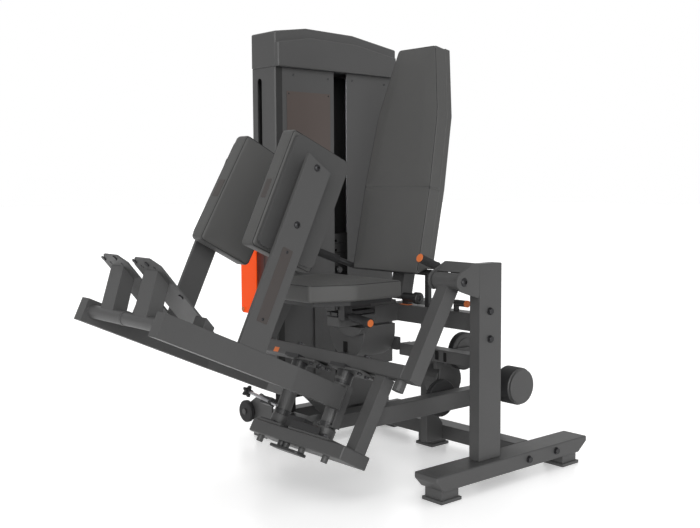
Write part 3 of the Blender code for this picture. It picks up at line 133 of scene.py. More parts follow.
def relief(tree, height, depth, normal):
    """Normal of a surface raised by height times depth, on top of the given normal if any."""
    bump = tree.nodes.new("ShaderNodeBump")
    bump.inputs["Strength"].default_value = 0.6
    bump.inputs["Distance"].default_value = depth
    tree.links.new(height, bump.inputs["Height"])
    if normal:
        tree.links.new(normal, bump.inputs["Normal"])
    return bump.outputs["Normal"]


POWDER = finish("powder_coat_grey", linear(88, 88, 88), 0.48, grain=(1400, 0.00012), mottle=0.05,
                soften=0.0016)
POWDER_DARK = finish("powder_coat_shade", linear(70, 70, 71), 0.50, grain=(1400, 0.00012),
                     mottle=0.05, soften=0.0012)
SATIN_BLACK = finish("satin_black", linear(48, 48, 49), 0.42, grain=(1100, 0.00008), mottle=0.05,
                     soften=0.001)
LEATHER = finish("grained_upholstery", linear(91, 91, 90), 0.52, cells=(620, 0.0004),
                 grain=(2200, 0.0001), mottle=0.04, sheen=0.05)
SEAM = finish("seam_thread", linear(52, 52, 52), 0.7, grain=(1800, 0.0002), mottle=0.05)
RUBBER = finish("moulded_rubber", linear(42, 42, 43), 0.68, grain=(1500, 0.0002), mottle=0.06,
                soften=0.001)
BLACKED = finish("tower_inside", linear(30, 30, 30), 0.75, grain=(900, 0.0001), mottle=0.05)
IRON = finish("cast_plate_black", linear(40, 40, 40), 0.55, grain=(700, 0.0002), mottle=0.08,
              soften=0.0008)
STEEL = finish("ground_steel", linear(165, 165, 168), 0.30, 1.0, grain=(600, 0.00003), mottle=0.04)
BOLT = finish("black_oxide_bolt", linear(50, 50, 52), 0.36, 0.5, grain=(1200, 0.00005),
              mottle=0.05, soften=0.0006)
# The orange pieces emit a glow of their own colour: painted light, as they are no lamps.
ORANGE_SHEET = finish("orange_sheet", linear(255, 82, 2), 0.55, grain=(1300, 0.00006),
                      mottle=0.02, soften=0.0015, glow=0.48)
ORANGE_CAP = finish("orange_moulding", linear(214, 114, 58), 0.45, grain=(1300, 0.0001),
                    mottle=0.05, soften=0.0006, glow=0.22)
BOARD = finish("textured_board", linear(80, 80, 80), 0.62, grain=(900, 0.0002), mottle=0.05,
               soften=0.001)
PLACARD = finish("printed_sheet_brown", linear(94, 84, 80), 0.40, grain=(1600, 0.00004),
                 mottle=0.03)
# Near black for thin sheets laid where slots are: painted shade of their insides.
PAINTED_SLOT_SHADE = finish("hollow_shade", linear(6, 6, 6), 0.95, grain=(900, 0.0001), mottle=0.05)
# Dark grey for the strip over the tower's recessed front flange: painted shade.
SHADED = finish("recess_shade", linear(46, 46, 46), 0.7, grain=(1200, 0.0001), mottle=0.05)
PLATE = finish("label_sheet_dark", linear(74, 68, 66), 0.40, grain=(1600, 0.00004), mottle=0.03)

FINISHES = {
    SATIN_BLACK: ("right_pivot_shaft left_pivot_shaft handle_bar plunger_barrel seat_pan "
                  "right_arm_pin left_arm_pin selector_pin").split(),
    RUBBER: "left_grip right_grip near_wheel far_wheel rubber_stop boom_pulley".split(),
    STEEL: "near_guide_rod far_guide_rod selector_rod".split(),
    IRON: "weight_stack lifted_plates".split(),
    ORANGE_SHEET: ["side_guard"],
    PLACARD: ["placard"],
    BOARD: ["backrest_frame", "right_arm_pad_board", "left_arm_pad_board"],
    BLACKED: ["tower_posts", "rear_panel"],
}
CHOSEN = {node: coat for coat, nodes in FINISHES.items() for node in nodes}
for name, node in NODES.items():
    node.data.materials.clear()
    node.data.materials.append(CHOSEN.get(name, POWDER))


# Surfaces

def closed_grid(x, y, z):
    """The surface of a block ruled by three rising lists of places: every side is a grid of two
    of them, and the sides share their rims. Returns points and outward quads."""
    points, quads, start = [], [], 0
    for axis, (u, v) in enumerate(((y, z), (z, x), (x, y))):
        w = (x, y, z)[axis]
        for end, flip in ((w[-1], False), (w[0], True)):
            a, b = np.meshgrid(u, v, indexing="ij")
            side = np.empty((a.size, 3))
            side[:, axis] = end
            side[:, (axis + 1) % 3] = a.ravel()
            side[:, (axis + 2) % 3] = b.ravel()
            index = np.arange(a.size).reshape(a.shape) + start
            quad = np.stack([index[:-1, :-1], index[1:, :-1], index[1:, 1:], index[:-1, 1:]], -1)
            quad = quad.reshape(-1, 4)
            quads.append(quad[:, ::-1] if flip else quad)
            points.append(side)
            start += a.size
    points = np.concatenate(points)
    _, first, back = np.unique(np.round(points, 7), axis=0, return_index=True, return_inverse=True)
    return points[first], back.ravel()[np.concatenate(quads)]


def ruled(half, rim, step, extra=()):
    """Places from -half to half: steps of about `step`, closer over the rounded rims and at
    each extra place."""
    flat = np.linspace(-(half - rim), half - rim, max(2, round(2 * (half - rim) / step)) + 1)
    turn = rim * np.tan(np.radians((15, 30, 45)))
    made = [flat, half - rim + turn, -(half - rim) - turn]
    for place in extra:
        flat = flat[np.abs(flat - place) > 0.012]
        made[0] = flat
        made.append(place + np.array((-0.009, -0.005, -0.0025, 0.0, 0.0025, 0.005, 0.009)))
    return np.unique(np.round(np.concatenate(made), 6))


def rounded(points, half, rim):
    """Each point of a block's skin is drawn to the ball of radius `rim` round the nearest place
    of the block shrunk by that radius."""
    core = np.clip(points, -(half - rim), half - rim)
    away = points - core
    return core + away / np.linalg.norm(away, axis=1, keepdims=True) * rim


def turned(profile, sides=24, start=0.0):
    """A profile of (distance, radius) carried round its axis: points at distance w are
    (r cos t, r sin t, w), closed by a pole at each end."""
    w, r = np.array(profile, float).T
    t = start + np.arange(sides) * 2 * pi / sides
    grid = np.stack([np.outer(r, np.cos(t)), np.outer(r, np.sin(t)),
                     np.repeat(w[:, None], sides, 1)], -1).reshape(-1, 3)
    points = np.vstack([grid, (0, 0, w[0]), (0, 0, w[-1])])
    index = np.arange(len(w) * sides).reshape(len(w), sides)
    after = np.roll(index, -1, axis=1)
    quads = np.stack([index[:-1], after[:-1], after[1:], index[1:]], -1).reshape(-1, 4)
    low, high = len(grid), len(grid) + 1
    caps = [np.stack([after[0], index[0], np.full(sides, low)], -1),
            np.stack([index[-1], after[-1], np.full(sides, high)], -1)]
    return points, quads.tolist() + np.concatenate(caps).tolist()


def bolt_head(across, height, washer=0.0, sides=6):
    """A hexagon head on a round washer, its top rim chamfered: two turned profiles in one."""
    r = across / 2 / cos(pi / 6)
    made = [turned([(0.0, r), (height * 0.82, r), (height, r * 0.86)], sides)]
    if washer:
        made.insert(0, turned([(0.0, washer), (0.0012, washer), (0.0016, washer - 0.0006)], 20))
        points, faces = made[1]
        made[1] = (points + (0, 0, 0.0015), faces)
    return made


def button_head(r, height, socket=0.45):
    """A low dome with a sunk socket: radius falls with the square root of the height, then the
    profile drops back down inside the socket."""
    t = np.linspace(0, 1, 6)
    dome = [(height * v, r * (1 - 0.55 * v ** 2)) for v in t]
    s = r * socket
    return [turned(dome + [(height, s), (height * 0.35, s), (height * 0.35, s * 0.2)], 20)]


def slab(outline, low, high, rim=0.001):
    """A flat outline carried from low to high; its ends are drawn in by the rim's chamfer along
    each corner's mean normal."""
    flat = np.array(outline, float)
    ahead = np.roll(flat, -1, 0) - flat
    ahead /= np.linalg.norm(ahead, axis=1, keepdims=True)
    normal = np.stack([ahead[:, 1], -ahead[:, 0]], -1)
    corner = normal + np.roll(normal, 1, 0)
    corner /= np.maximum(1e-9, (corner * normal).sum(1))[:, None]
    area = np.sum(flat[:, 0] * np.roll(flat[:, 1], -1) - flat[:, 1] * np.roll(flat[:, 0], -1))
    if area < 0:
        flat, corner = flat[::-1], -corner[::-1]
    levels = [(low, rim), (low + rim, 0.0), (high - rim, 0.0), (high, rim)]
    points = np.vstack([np.column_stack([flat - corner * d, np.full(len(flat), w)])
                        for w, d in levels])
    n = len(flat)
    index = np.arange(4 * n).reshape(4, n)
    after = np.roll(index, -1, 1)
    quads = np.stack([index[:-1], after[:-1], after[1:], index[1:]], -1).reshape(-1, 4)
    return [(points, quads.tolist() + [index[0][::-1].tolist(), index[-1].tolist()])]


def block(x, y, z, rim=0.001):
    """A box between two values on each axis, its upright rims chamfered."""
    return slab([(x[0], y[0]), (x[1], y[0]), (x[1], y[1]), (x[0], y[1])], z[0], z[1], rim)


def side_slab(outline, low, high, rim=0.001):
    """A slab whose outline stands in (y, z), carried along x from low to high."""
    return [(points[:, [2, 0, 1]], faces) for points, faces in slab(outline, low, high, rim)]


def rounded_outline(u, v, r, steps=5):
    """A rectangle between two values on each axis with quarter circles of radius r."""
    t = np.linspace(0, pi / 2, steps + 1)
    made = [np.column_stack([cu + r * np.cos(t + k * pi / 2), cv + r * np.sin(t + k * pi / 2)])
            for k, (cu, cv) in enumerate(((u[1] - r, v[1] - r), (u[0] + r, v[1] - r),
                                          (u[0] + r, v[0] + r), (u[1] - r, v[0] + r)))]
    return np.vstack(made)


def carried(path, radius, sides=12):
    """A round section carried along a path: each ring stands square to the chord between its
    neighbours, and its side is the last ring's side less what runs along the path."""
    path = np.array(path, float)
    ahead = np.gradient(path, axis=0)
    ahead /= np.linalg.norm(ahead, axis=1, keepdims=True)
    side = np.zeros_like(ahead)
    first = np.cross(ahead[0], (0.3, 0.5, 0.81))
    side[0] = first / np.linalg.norm(first)
    for i in range(1, len(path)):
        s = side[i - 1] - ahead[i] * (side[i - 1] @ ahead[i])
        side[i] = s / np.linalg.norm(s)
    up = np.cross(ahead, side)
    t = np.arange(sides) * 2 * pi / sides
    r = np.broadcast_to(np.asarray(radius, float), (len(path),))[:, None, None]
    round_it = side[:, None] * np.cos(t)[:, None] + up[:, None] * np.sin(t)[:, None]
    rings = path[:, None] + r * round_it
    index = np.arange(len(path) * sides).reshape(len(path), sides)
    after = np.roll(index, -1, 1)
    quads = np.stack([index[:-1], after[:-1], after[1:], index[1:]], -1).reshape(-1, 4)
    points = rings.reshape(-1, 3)
    return [(points, quads.tolist() + [index[0][::-1].tolist(), index[-1].tolist()])]


def facing(x, y, z, way="Z", base=LAYOUT):
    """Frame at a place whose own Z looks along the named way."""
    turn = {"Z": Matrix.Identity(4), "-Z": Matrix.Rotation(pi, 4, "X"),
            "X": Matrix.Rotation(pi / 2, 4, "Y"), "-X": Matrix.Rotation(-pi / 2, 4, "Y"),
            "Y": Matrix.Rotation(-pi / 2, 4, "X"), "-Y": Matrix.Rotation(pi / 2, 4, "X")}[way]
    return base @ Matrix.Translation((x, y, z)) @ turn


def placed(shapes, where):
    """The shapes with their points carried into the frame's own axes by a matrix."""
    m = np.array(where)
    return [(points @ m[:3, :3].T + m[:3, 3], faces) for points, faces in shapes]


def piece(name, shapes, coat, body, smooth=30):
    """One object of several shapes, smooth where faces meet at less than `smooth` degrees."""
    points, faces, start = [], [], 0
    for p, f in shapes:
        points.append(p)
        listed = f.tolist() if isinstance(f, np.ndarray) else f
        faces += [[i + start for i in face] for face in listed]
        start += len(p)
    mesh = bpy.data.meshes.new(name)
    mesh.from_pydata(np.concatenate(points).tolist(), [], faces)
    mesh.materials.append(coat)
    mesh.shade_smooth()
    mesh.set_sharp_from_angle(angle=radians(smooth))
    made = bpy.data.objects.new(name, mesh)
    bpy.context.collection.objects.link(made)
    if body:
        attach(made, body)
    return made


# Cushions

CLOTH_STEPS = 20
BACK_SPAN, BACK_DEEP, BACK_SEAM = (-0.380, 0.384), 0.062, -0.112
BACK_LIP = 0.028      # how far the backrest's front hangs below its back
SEAT_SPAN, SEAT_DEEP, SEAT_TOP = (-0.452, -0.118), 0.058, 0.667
KNEE_SPAN, KNEE_DEEP = (-0.184, 0.184), 0.066
PAD_BOARD_T, PAD_GAP = 0.015, 0.0003
CORD_R = 0.0013


def puffed(cushion, held, cap, pressure=4.0):
    """Blow the cover up with cloth: points whose `held` is 1 stay, and none moves beyond cap."""
    scene = bpy.context.scene
    mesh = cushion.data
    rest = np.empty(len(mesh.vertices) * 3)
    mesh.vertices.foreach_get("co", rest)
    group = cushion.vertex_groups.new(name="held")
    for level in np.unique(np.round(held, 1)):
        group.add(np.flatnonzero(np.round(held, 1) == level).tolist(), float(level), "REPLACE")
    cloth = cushion.modifiers.new("cover", "CLOTH")
    cloth.settings.quality = 5
    cloth.settings.mass = 0.3
    cloth.settings.tension_stiffness = 20
    cloth.settings.compression_stiffness = 20
    cloth.settings.bending_stiffness = 2.0
    cloth.settings.use_pressure = True
    cloth.settings.uniform_pressure_force = pressure
    cloth.settings.effector_weights.gravity = 0
    cloth.settings.vertex_group_mass = "held"
    cloth.point_cache.frame_start = 1
    cloth.point_cache.frame_end = CLOTH_STEPS
    for step in range(1, CLOTH_STEPS + 1):
        scene.frame_set(step)
    seen = cushion.evaluated_get(bpy.context.evaluated_depsgraph_get())
    blown = np.empty_like(rest)
    seen.data.vertices.foreach_get("co", blown)
    move = (blown - rest).reshape(-1, 3)
    far = np.linalg.norm(move, axis=1, keepdims=True)
    move *= np.minimum(1.0, cap / np.maximum(far, 1e-9))
    cushion.modifiers.remove(cloth)
    cushion.vertex_groups.clear()
    mesh.vertices.foreach_set("co", (rest + move.ravel()).astype(np.float32))
    scene.frame_set(1)


def cushion(name, node, body, where, span, depth, width, crown, seams=(), rim=0.009, step=0.011,
            cap=0.004, lip=0.0):
    """A stuffed cover: a rounded block of (across, along, deep), whose width follows `width(v)`,
    whose face rises as a paraboloid of height crown, and whose skin sinks along each seam as a
    narrow bell curve; then the cover is blown up between its seams and its edge. The low end's
    front hangs `lip` lower than its back."""
    low, high = span
    half = np.array((width((low + high) / 2), (high - low) / 2, depth / 2))
    middle = (low + high) / 2
    lines = [ruled(half[0], rim, step), ruled(half[1], rim, step, [s - middle for s in seams]),
             ruled(half[2], rim, step * 1.4)]
    points, faces = closed_grid(*lines)
    points = rounded(points, half, rim)
    v = points[:, 1] + middle
    share = points[:, 0] / half[0]
    wide = width(v)
    deep = points[:, 2] + half[2]
    front = np.clip(deep / depth, 0, 1)
    arch = (1 - share ** 2) * (1 - (points[:, 1] / half[1]) ** 4)
    sunk = sum((np.exp(-((v - s) / 0.0032) ** 2) for s in seams), np.zeros(len(v))) * 0.0045
    body_share = np.clip((deep - 0.004) / 0.01, 0, 1)
    across = share * wide - np.sign(share) * sunk * body_share * (np.abs(share) > 0.97)
    deep = deep - crown * (1 - arch) * (front > 0.6) * np.clip((front - 0.6) / 0.3, 0, 1)
    deep = deep - sunk * (front > 0.9)
    v = v - lip * front * np.clip((low + 0.12 - v) / 0.12, 0, 1)
    local = np.column_stack([across, deep, v])
    m = np.array(where)
    if np.linalg.det(m[:3, :3]) > 0:
        faces = faces[:, ::-1]
    made = piece(name, [(local @ m[:3, :3].T + m[:3, 3], faces)], LEATHER, body, smooth=180)
    edge = np.maximum(np.abs(share) - (1 - 0.6 * rim / half[0]), np.abs(points[:, 1]) / half[1]
                      - (1 - 0.6 * rim / half[1]))
    held = np.where((front < 0.3) | (sunk > 0.001) | (np.abs(share) > 0.985), 1.0, 0.0)
    held = np.maximum(held, np.where((front > 0.85) & (edge > 0), 0.9, 0.0))
    puffed(made, held, cap)
    smooth = made.modifiers.new("smooth", "SUBSURF")
    smooth.levels = 1
    smooth.render_levels = 1
    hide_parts(node)
    return made


def welt(name, body, where, span, deep, width, inset, lower=0.0):
    """A sewn edge: a thin cord carried once round a cushion at one depth, half its width less the
    inset away from the middle; the low end lies `lower` further down."""
    low, high = span[0] + inset, span[1] - inset
    v = np.concatenate([(low + 0.004,), np.linspace(low + 0.009, high - 0.009, 26),
                        (high - 0.004,)])
    side = width(v) - inset - np.where((v < low + 0.005) | (v > high - 0.005), 0.0025, 0.0)
    right = np.column_stack([side, v])
    ends = np.array([(width(high) - inset - 0.009, high), (inset + 0.009 - width(high), high)])
    feet = np.array([(inset + 0.009 - width(low), low), (width(low) - inset - 0.009, low)])
    loop = np.vstack([right, ends, right[::-1] * (-1, 1), feet, right[:2]])
    drop = lower * np.clip((low + 0.12 - loop[:, 1]) / 0.12, 0, 1)
    path = np.column_stack([loop[:, 0], np.full(len(loop), deep), loop[:, 1] - drop])
    piece(name, placed(carried(path, CORD_R, 8), where), SEAM, body)


def back_width(v):
    """Half width of the backrest: even below the seam, then a slow and a quick taper."""
    return np.interp(v, (-0.380, -0.108, 0.147, 0.384), (0.168, 0.168, 0.152, 0.094))


def seat_width(v):
    """Half width of the seat: a straight taper in front of the shoulder."""
    return np.interp(v, (-0.452, -0.309, -0.118), (0.127, 0.185, 0.185))


# From a cushion's own (across, deep, along) to the backrest's and the seat's axes
FLIP_BACK = Matrix(((1, 0, 0, 0), (0, -1, 0, BACK_DEEP), (0, 0, 1, 0), (0, 0, 0, 1)))
LAY_DOWN = Matrix(((1, 0, 0, 0), (0, 0, 1, 0), (0, 1, 0, 0), (0, 0, 0, 1)))


def build_cushions():
    """The four cushions with the cords of their sewn edges, the wrap round the backrest's edge
    and the bare tags on the knee pads."""
    where = BACK @ FLIP_BACK
    cushion("backrest_cover", "backrest_pad", "frame", where, BACK_SPAN, BACK_DEEP, back_width,
            0.004, seams=[BACK_SEAM], lip=BACK_LIP)
    welt("backrest_welt", "frame", where, BACK_SPAN, 0.0554, back_width, 0.0024, 0.025)
    rim = [(back_width(v) + 0.0006, v) for v in (-0.3806, -0.108, 0.147, 0.3846)]
    rim += [(-w, v) for w, v in rim[::-1]]
    wrap = [(points[:, [0, 2, 1]], faces) for points, faces in slab(rim, -0.0125, 0.0100, 0.0008)]
    piece("backrest_edge_wrap", placed(wrap, where), LEATHER, "frame")

    where = LAYOUT @ Matrix.Translation((USER_X, 0.0, SEAT_TOP - SEAT_DEEP)) @ LAY_DOWN
    cushion("seat_cover", "seat_pad", "seat", where, SEAT_SPAN, SEAT_DEEP, seat_width, 0.003)
    welt("seat_welt", "seat", where, SEAT_SPAN, 0.0524, seat_width, 0.0024)

    for name, side in SIDES.items():
        # outer face of the pad's tube, and the pad's middle and half width along the leg; the
        # left pad is turned a little
        bar_out, middle, half, tilt = {"right": (0.248, -0.4645, 0.1155, 0),
                                       "left": (0.216, -0.4665, 0.0985, -4)}[name]
        back = bar_out - 0.012 - 0.032 - PAD_BOARD_T - PAD_GAP
        turn = (Matrix.Translation((0, middle - HINGE_Y, 0.054))
                @ Matrix.Rotation(radians(tilt), 4, "X"))
        lie = Matrix(((0, -side, 0, side * (back - HINGE_OUT)), (1, 0, 0, 0), (0, 0, 1, 0),
                      (0, 0, 0, 1)))

        def even(v, half=half):
            """Half width of the knee pad: the same all along."""
            return np.full(np.shape(v), half)

        where, body = ARMS[name] @ turn @ lie, name + "_leg"
        cushion(name + "_knee_cover", name + "_arm_pad", body, where, KNEE_SPAN, KNEE_DEEP, even,
                0.006, rim=0.012)
        welt(name + "_front_welt", body, where, KNEE_SPAN, 0.0565, even, 0.0031)
        welt(name + "_back_welt", body, where, KNEE_SPAN, 0.0035, even, 0.0031)
        deep = (0.017, 0.041 if side > 0 else 0.049)
        tag = slab(rounded_outline(deep, (-0.038, 0.022), 0.003), half - 0.002, half + 0.0009,
                   0.0004)
        tag = [(points[:, [2, 0, 1]] * (-1, 1, 1), [f[::-1] for f in faces])
               for points, faces in tag]
        piece(name + "_pad_tag", placed(tag, where), PLATE, body)


build_cushions()


# Rigid pieces of the scene

def disc(r, low, high, edge=0.0012, sides=28):
    """A round plate or shaft between two distances, both rims chamfered."""
    return [turned([(low, r - edge), (low + edge, r), (high - edge, r), (high, r - edge)], sides)]


def hoop(low, high, inner, outer, sides=24):
    """A flat band round an axis, from one distance to another."""
    return [turned([(low, inner), (low, outer), (high, outer), (high, inner)], sides)]


def half_round(x, y, top, drop):
    """A half-round solid whose outline stands in (x, z), carried from y to y: two upright sides
    of length drop, if any, then a half circle between them."""
    r = (x[1] - x[0]) / 2
    t = np.linspace(0, pi, 21)
    under = np.column_stack([x[0] + r + r * np.cos(t), top - drop - r * np.sin(t)])
    outline = np.vstack([[(x[0], top), (x[1], top)], under]) if drop else under
    points, faces = slab(outline, -y[1], -y[0], 0.0015)[0]
    return [(points[:, [0, 2, 1]] * (1, -1, 1), faces)]


def spots(shape, places, way, base=LAYOUT):
    """Copies of a shape at places, each looking the same way."""
    return [s for x, y, z in places for s in placed(shape, facing(x, y, z, way, base))]


HEX = bolt_head(0.019, 0.008, 0.0125)
SMALL_HEX = bolt_head(0.013, 0.006, 0.009)
SOCKET = button_head(0.0105, 0.006)
SCREW = button_head(0.0048, 0.0022)


def build_upright():
    """The right upright flush with its nosed pivot bracket, their bolts, and the screwed shaft."""
    post = block((-POST_HALF, POST_HALF), (-0.050, 0.050), (0.1053, POST_TOP), 0.002)
    made = piece("upright_post", placed(post, LAYOUT), POWDER, "frame")
    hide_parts("right_upright")
    bolts = [(POST_HALF, -0.003, 0.579), (POST_HALF, -0.002, 0.491),
             (FOOT_BEAM_HALF, 0.158, 0.081), (FOOT_BEAM_HALF, 0.298, 0.083)]
    piece("upright_bolts", spots(HEX, bolts, "X"), BOLT, "frame")
    shaft = disc(0.0145, -0.123, 0.0213, 0.0006) + disc(0.024, -0.123, -0.105)
    shaft += placed(button_head(0.0125, 0.006, 0.5), Matrix.Translation((0, 0, 0.0213)))
    made = piece("pivot_screw", placed(shaft, facing(0.0, PIVOT_Y, PIVOT_Z, "X")), BOLT, "frame")
    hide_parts("right_pivot_shaft")
    t = np.radians(np.linspace(117, 251, 12))
    nose = np.column_stack([PIVOT_Y + 0.031 * np.cos(t), PIVOT_Z + 0.031 * np.sin(t)])
    near = np.vstack([[(-0.0560, 0.6233), (-0.0502, 0.6330), (-0.0502, POST_TOP),
                       (-0.0742, 0.7332)], nose])
    far = np.vstack([[(-0.0850, 0.6500), (-0.0660, 0.6500), (-0.0660, 0.7332), (-0.0742, 0.7332)],
                     nose])
    hood = [(-0.0660, 0.7332), (-0.0742, 0.7334), (-0.1165, 0.7062), (-0.1152, 0.7039),
            (-0.0735, 0.7307), (-0.0660, 0.7307)]
    web = [(-0.0560, 0.6480), (-0.0502, 0.6480), (-0.0502, 0.7285), (-0.0560, 0.7295),
           (-0.0660, 0.7330), (-0.0660, 0.7305), (-0.0565, 0.7270)]
    near_x, far_x = (0.0115, 0.0209), (-0.1085, -0.1005)
    between = (far_x[1], near_x[0])
    parts = []
    for outline, x in ((near, near_x), (far, far_x), (hood, between), (web, between)):
        parts += side_slab(outline, *x, 0.0006)
    made = piece("pivot_bracket_plates", placed(parts, LAYOUT), POWDER, "frame")
    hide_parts("pivot_bracket")


def build_seat_frame():
    """Nose of the seat tube with its slide, the half-round housing behind it, the seat's pull
    handle, and the bumper and marker on the upper cross tube."""
    nose = block((-0.478, -0.416), (-0.257, SEAT_TUBE_END), (0.505, 0.539), 0.002)
    slide = block((-0.474, -0.420), (-0.262, SEAT_TUBE_END), (0.5415, 0.5545), 0.001)
    piece("seat_tube_nose", placed(nose, LAYOUT), POWDER, "frame")
    screw = spots(SCREW, [(-0.455, -0.262, 0.548)], "-Y")
    piece("seat_slide_plate", placed(slide, LAYOUT) + screw, SATIN_BLACK, "frame")

    trough = half_round((-0.597, -0.409), (-0.156, -0.015), 0.499, 0.024)
    cradle_top, flat = 0.4985, 0.53
    points, faces = half_round((-0.520, -0.392), (-0.1820, -0.1570), cradle_top, 0.0)[0]
    shallow = points * (1, 1, flat) + (0, 0, cradle_top * (1 - flat))
    made = piece("half_round_housing", placed(trough + [(shallow, faces)], LAYOUT), POWDER,
                 "frame")
    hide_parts("drum_cover")
    # A thin dark sheet on the housing's front: painted shade inside its slot.
    slot = block((-0.519, -0.497), (-0.1572, -0.1563), (0.402, 0.438), 0.0002)
    piece("housing_slot_shade", placed(slot, LAYOUT), PAINTED_SLOT_SHADE, "frame")
    catch = block((-0.520, -0.500), (-0.166, -0.1565), (0.394, 0.401), 0.0006)
    catch += block((-0.432, -0.401), (-0.0145, 0.002), (0.405, 0.449), 0.001)
    hanger = block((-0.470, -0.424), (-0.140, -0.030), (0.4988, 0.5048), 0.0005)
    piece("housing_fittings", placed(catch + hanger, LAYOUT), POWDER_DARK, "frame")

    root, tip = np.array((-0.379, -0.247, 0.547)), np.array((-0.269, -0.247, 0.534))
    share = np.array((0.0, 0.13, 0.132, 0.2, 0.3, 0.8, 0.97, 1.0))[:, None]
    radius = (0.007, 0.007, 0.0125, 0.0135, 0.0140, 0.0150, 0.0165, 0.0150)
    handle = carried(root + (tip - root) * share, radius, 20)
    made = piece("seat_pull_handle", placed(handle, LAYOUT), RUBBER, "seat_pin")
    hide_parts("seat_knob")
    cap = disc(0.0122, 0.0, 0.0022, 0.0008)
    piece("seat_pull_cap", spots(cap, [(-0.2695, -0.247, 0.534)], "X"), ORANGE_CAP, "seat_pin")

    round_parts = (disc(0.0150, -0.080, -0.010) + disc(0.0205, -0.024, 0.0, 0.003)
                   + button_head(0.0095, 0.003, 0.5))
    bumper = placed(round_parts, facing(-0.322, 0.020, 0.5880, "X"))
    bumper += placed(block((-0.400, -0.372), (0.010, 0.030), (CROSS_TUBE_TOP, 0.578), 0.001),
                     LAYOUT)
    piece("cross_tube_bumper", bumper, SATIN_BLACK, "frame")
    mark = block((-0.404, -0.362), (0.0005, 0.026), (CROSS_TUBE_TOP, 0.5639), 0.0002)
    piece("cross_tube_marker", placed(mark, LAYOUT), ORANGE_CAP, "frame")
    way = facing(0.0, 0.0121, 0.5900, "X")
    knob = piece("plunger_cap", placed(disc(0.0112, -0.0977, -0.0877), way), ORANGE_CAP, "tilt_pin")
    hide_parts("plunger_knob")
    piece("plunger_sleeve", placed(disc(0.0108, -0.1450, -0.0980), way), SATIN_BLACK, "frame")
    # Thin dark sheets over the tube's slotted openings: painted shade of their insides.
    slot_shade_sheets = []
    for x, z in ((-0.2208, 0.4088), (-0.1808, 0.4064)):
        slot_shade_sheets += block((x - 0.006, x + 0.006), (-0.0012, -0.0002), (z - 0.015, z + 0.015), 0.0003)
    piece("slot_shades", placed(slot_shade_sheets, LAYOUT), PAINTED_SLOT_SHADE, "frame")


def build_drums():
    """Belts and plain faces of the drums, and the strap that hangs in front of the middle one."""
    rear = facing(-0.1647, 0.285, 0.281, "X")
    band = hoop(0.004, 0.062, 0.0632, 0.0646, 48)
    piece("rear_drum_belt", placed(band, rear), RUBBER, "drum_rear")
    face = disc(0.0600, 0.0655, 0.0750, 0.0015, 48)
    piece("rear_drum_face", placed(face, rear), POWDER, "drum_rear")
    upper = facing(-0.236, 0.130, 0.4075, "X")
    belt = hoop(0.002, 0.022, 0.0632, 0.0644, 48)
    piece("upper_pulley_belt", placed(belt, upper), RUBBER, "pulley_upper")
    hub = disc(0.046, 0.0238, 0.0262, 0.0008, 40)
    piece("upper_pulley_hub", placed(hub, upper), POWDER, "pulley_upper")
    outline = [(0.064, 0.286), (0.121, 0.286), (0.124, 0.340), (0.114, 0.354), (0.074, 0.360),
               (0.064, 0.352)]
    strap = side_slab(outline, -0.2770, -0.2700, 0.0012)
    strap += block((-0.2765, -0.2620), (0.040, 0.076), (0.350, 0.3868), 0.001)
    piece("middle_drum_strap", placed(strap, LAYOUT), POWDER, "frame")


def build_tower():
    """Painted shade over the recessed flange at the near front corner, cover of the side slot,
    strip and screws of the front panel, pins of the placard, the header's plate and the stud of
    the side guard."""
    # A dark strip over the near shroud's recessed front flange: painted shade of that set-back
    # corner.
    recess_shade_strip = block((PANEL_X, -0.8711), (-0.1772, -0.1503), (0.256, 1.399), 0.0001)
    piece("corner_recess_shade", placed(recess_shade_strip, LAYOUT), SHADED, "frame")
    sheet = block((-0.9925, -0.9575), (-0.1792, -0.1782), (0.357, 0.800), 0.0003)
    piece("side_slot_cover", placed(sheet, LAYOUT), POWDER, "frame")
    strip = block((PANEL_X, -0.866), (-0.0136, 0.0197), (0.255, 0.585), 0.001)
    piece("panel_strip", placed(strip, LAYOUT), POWDER, "frame")
    screws = [(PANEL_X, y, z) for y, z in ((-0.101, 1.375), (0.061, 1.3725), (0.178, 1.3735),
                                           (0.343, 1.370))]
    piece("panel_screws", spots(SCREW, screws, "X"), POWDER_DARK, "frame")
    pins = [(-0.8700, y, z) for y in (-0.122, 0.061) for z in (1.058, 1.307)]
    piece("placard_pins", spots(button_head(0.0032, 0.0014), pins, "X"), BOLT, "frame")
    plate = [(-0.183, 1.400), (-0.183, 1.486), (-0.039, 1.512), (0.183, 1.508), (0.387, 1.475),
             (0.387, 1.400)]
    plate = side_slab(plate, -0.8720, -0.8480, 0.0035)
    made = piece("header_plate", placed(plate, LAYOUT), POWDER, "frame")
    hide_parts("header_panel")
    stud = placed(disc(0.010, 0.0, 0.004), facing(-1.062, -0.2037, 0.503, "-Y"))
    piece("guard_stud", stud, ORANGE_CAP, "frame")


def build_grips():
    """End caps and inner rings of the two grips, square to each grip's own run."""
    grips = {"right": ((-0.200, -0.095, 0.738), (-0.200, -0.005, 0.701), ORANGE_CAP),
             "left": ((-0.694, -0.131, 0.737), (-0.6435, 0.0, 0.681), RUBBER)}
    for side, (tip, bend, coat) in grips.items():
        way = (Vector(tip) - Vector(bend)).normalized()
        where = (LAYOUT @ Matrix.Translation(Vector(tip) + way * 0.0004)
                 @ way.to_track_quat("Z", "Y").to_matrix().to_4x4())
        piece(side + "_grip_cap", placed(disc(0.0140, 0.0, 0.0035), where), coat, "frame")
        ring = hoop(-0.0835, -0.0805, 0.0108, 0.0155)
        piece(side + "_grip_ring", placed(ring, where), BOLT, "frame")


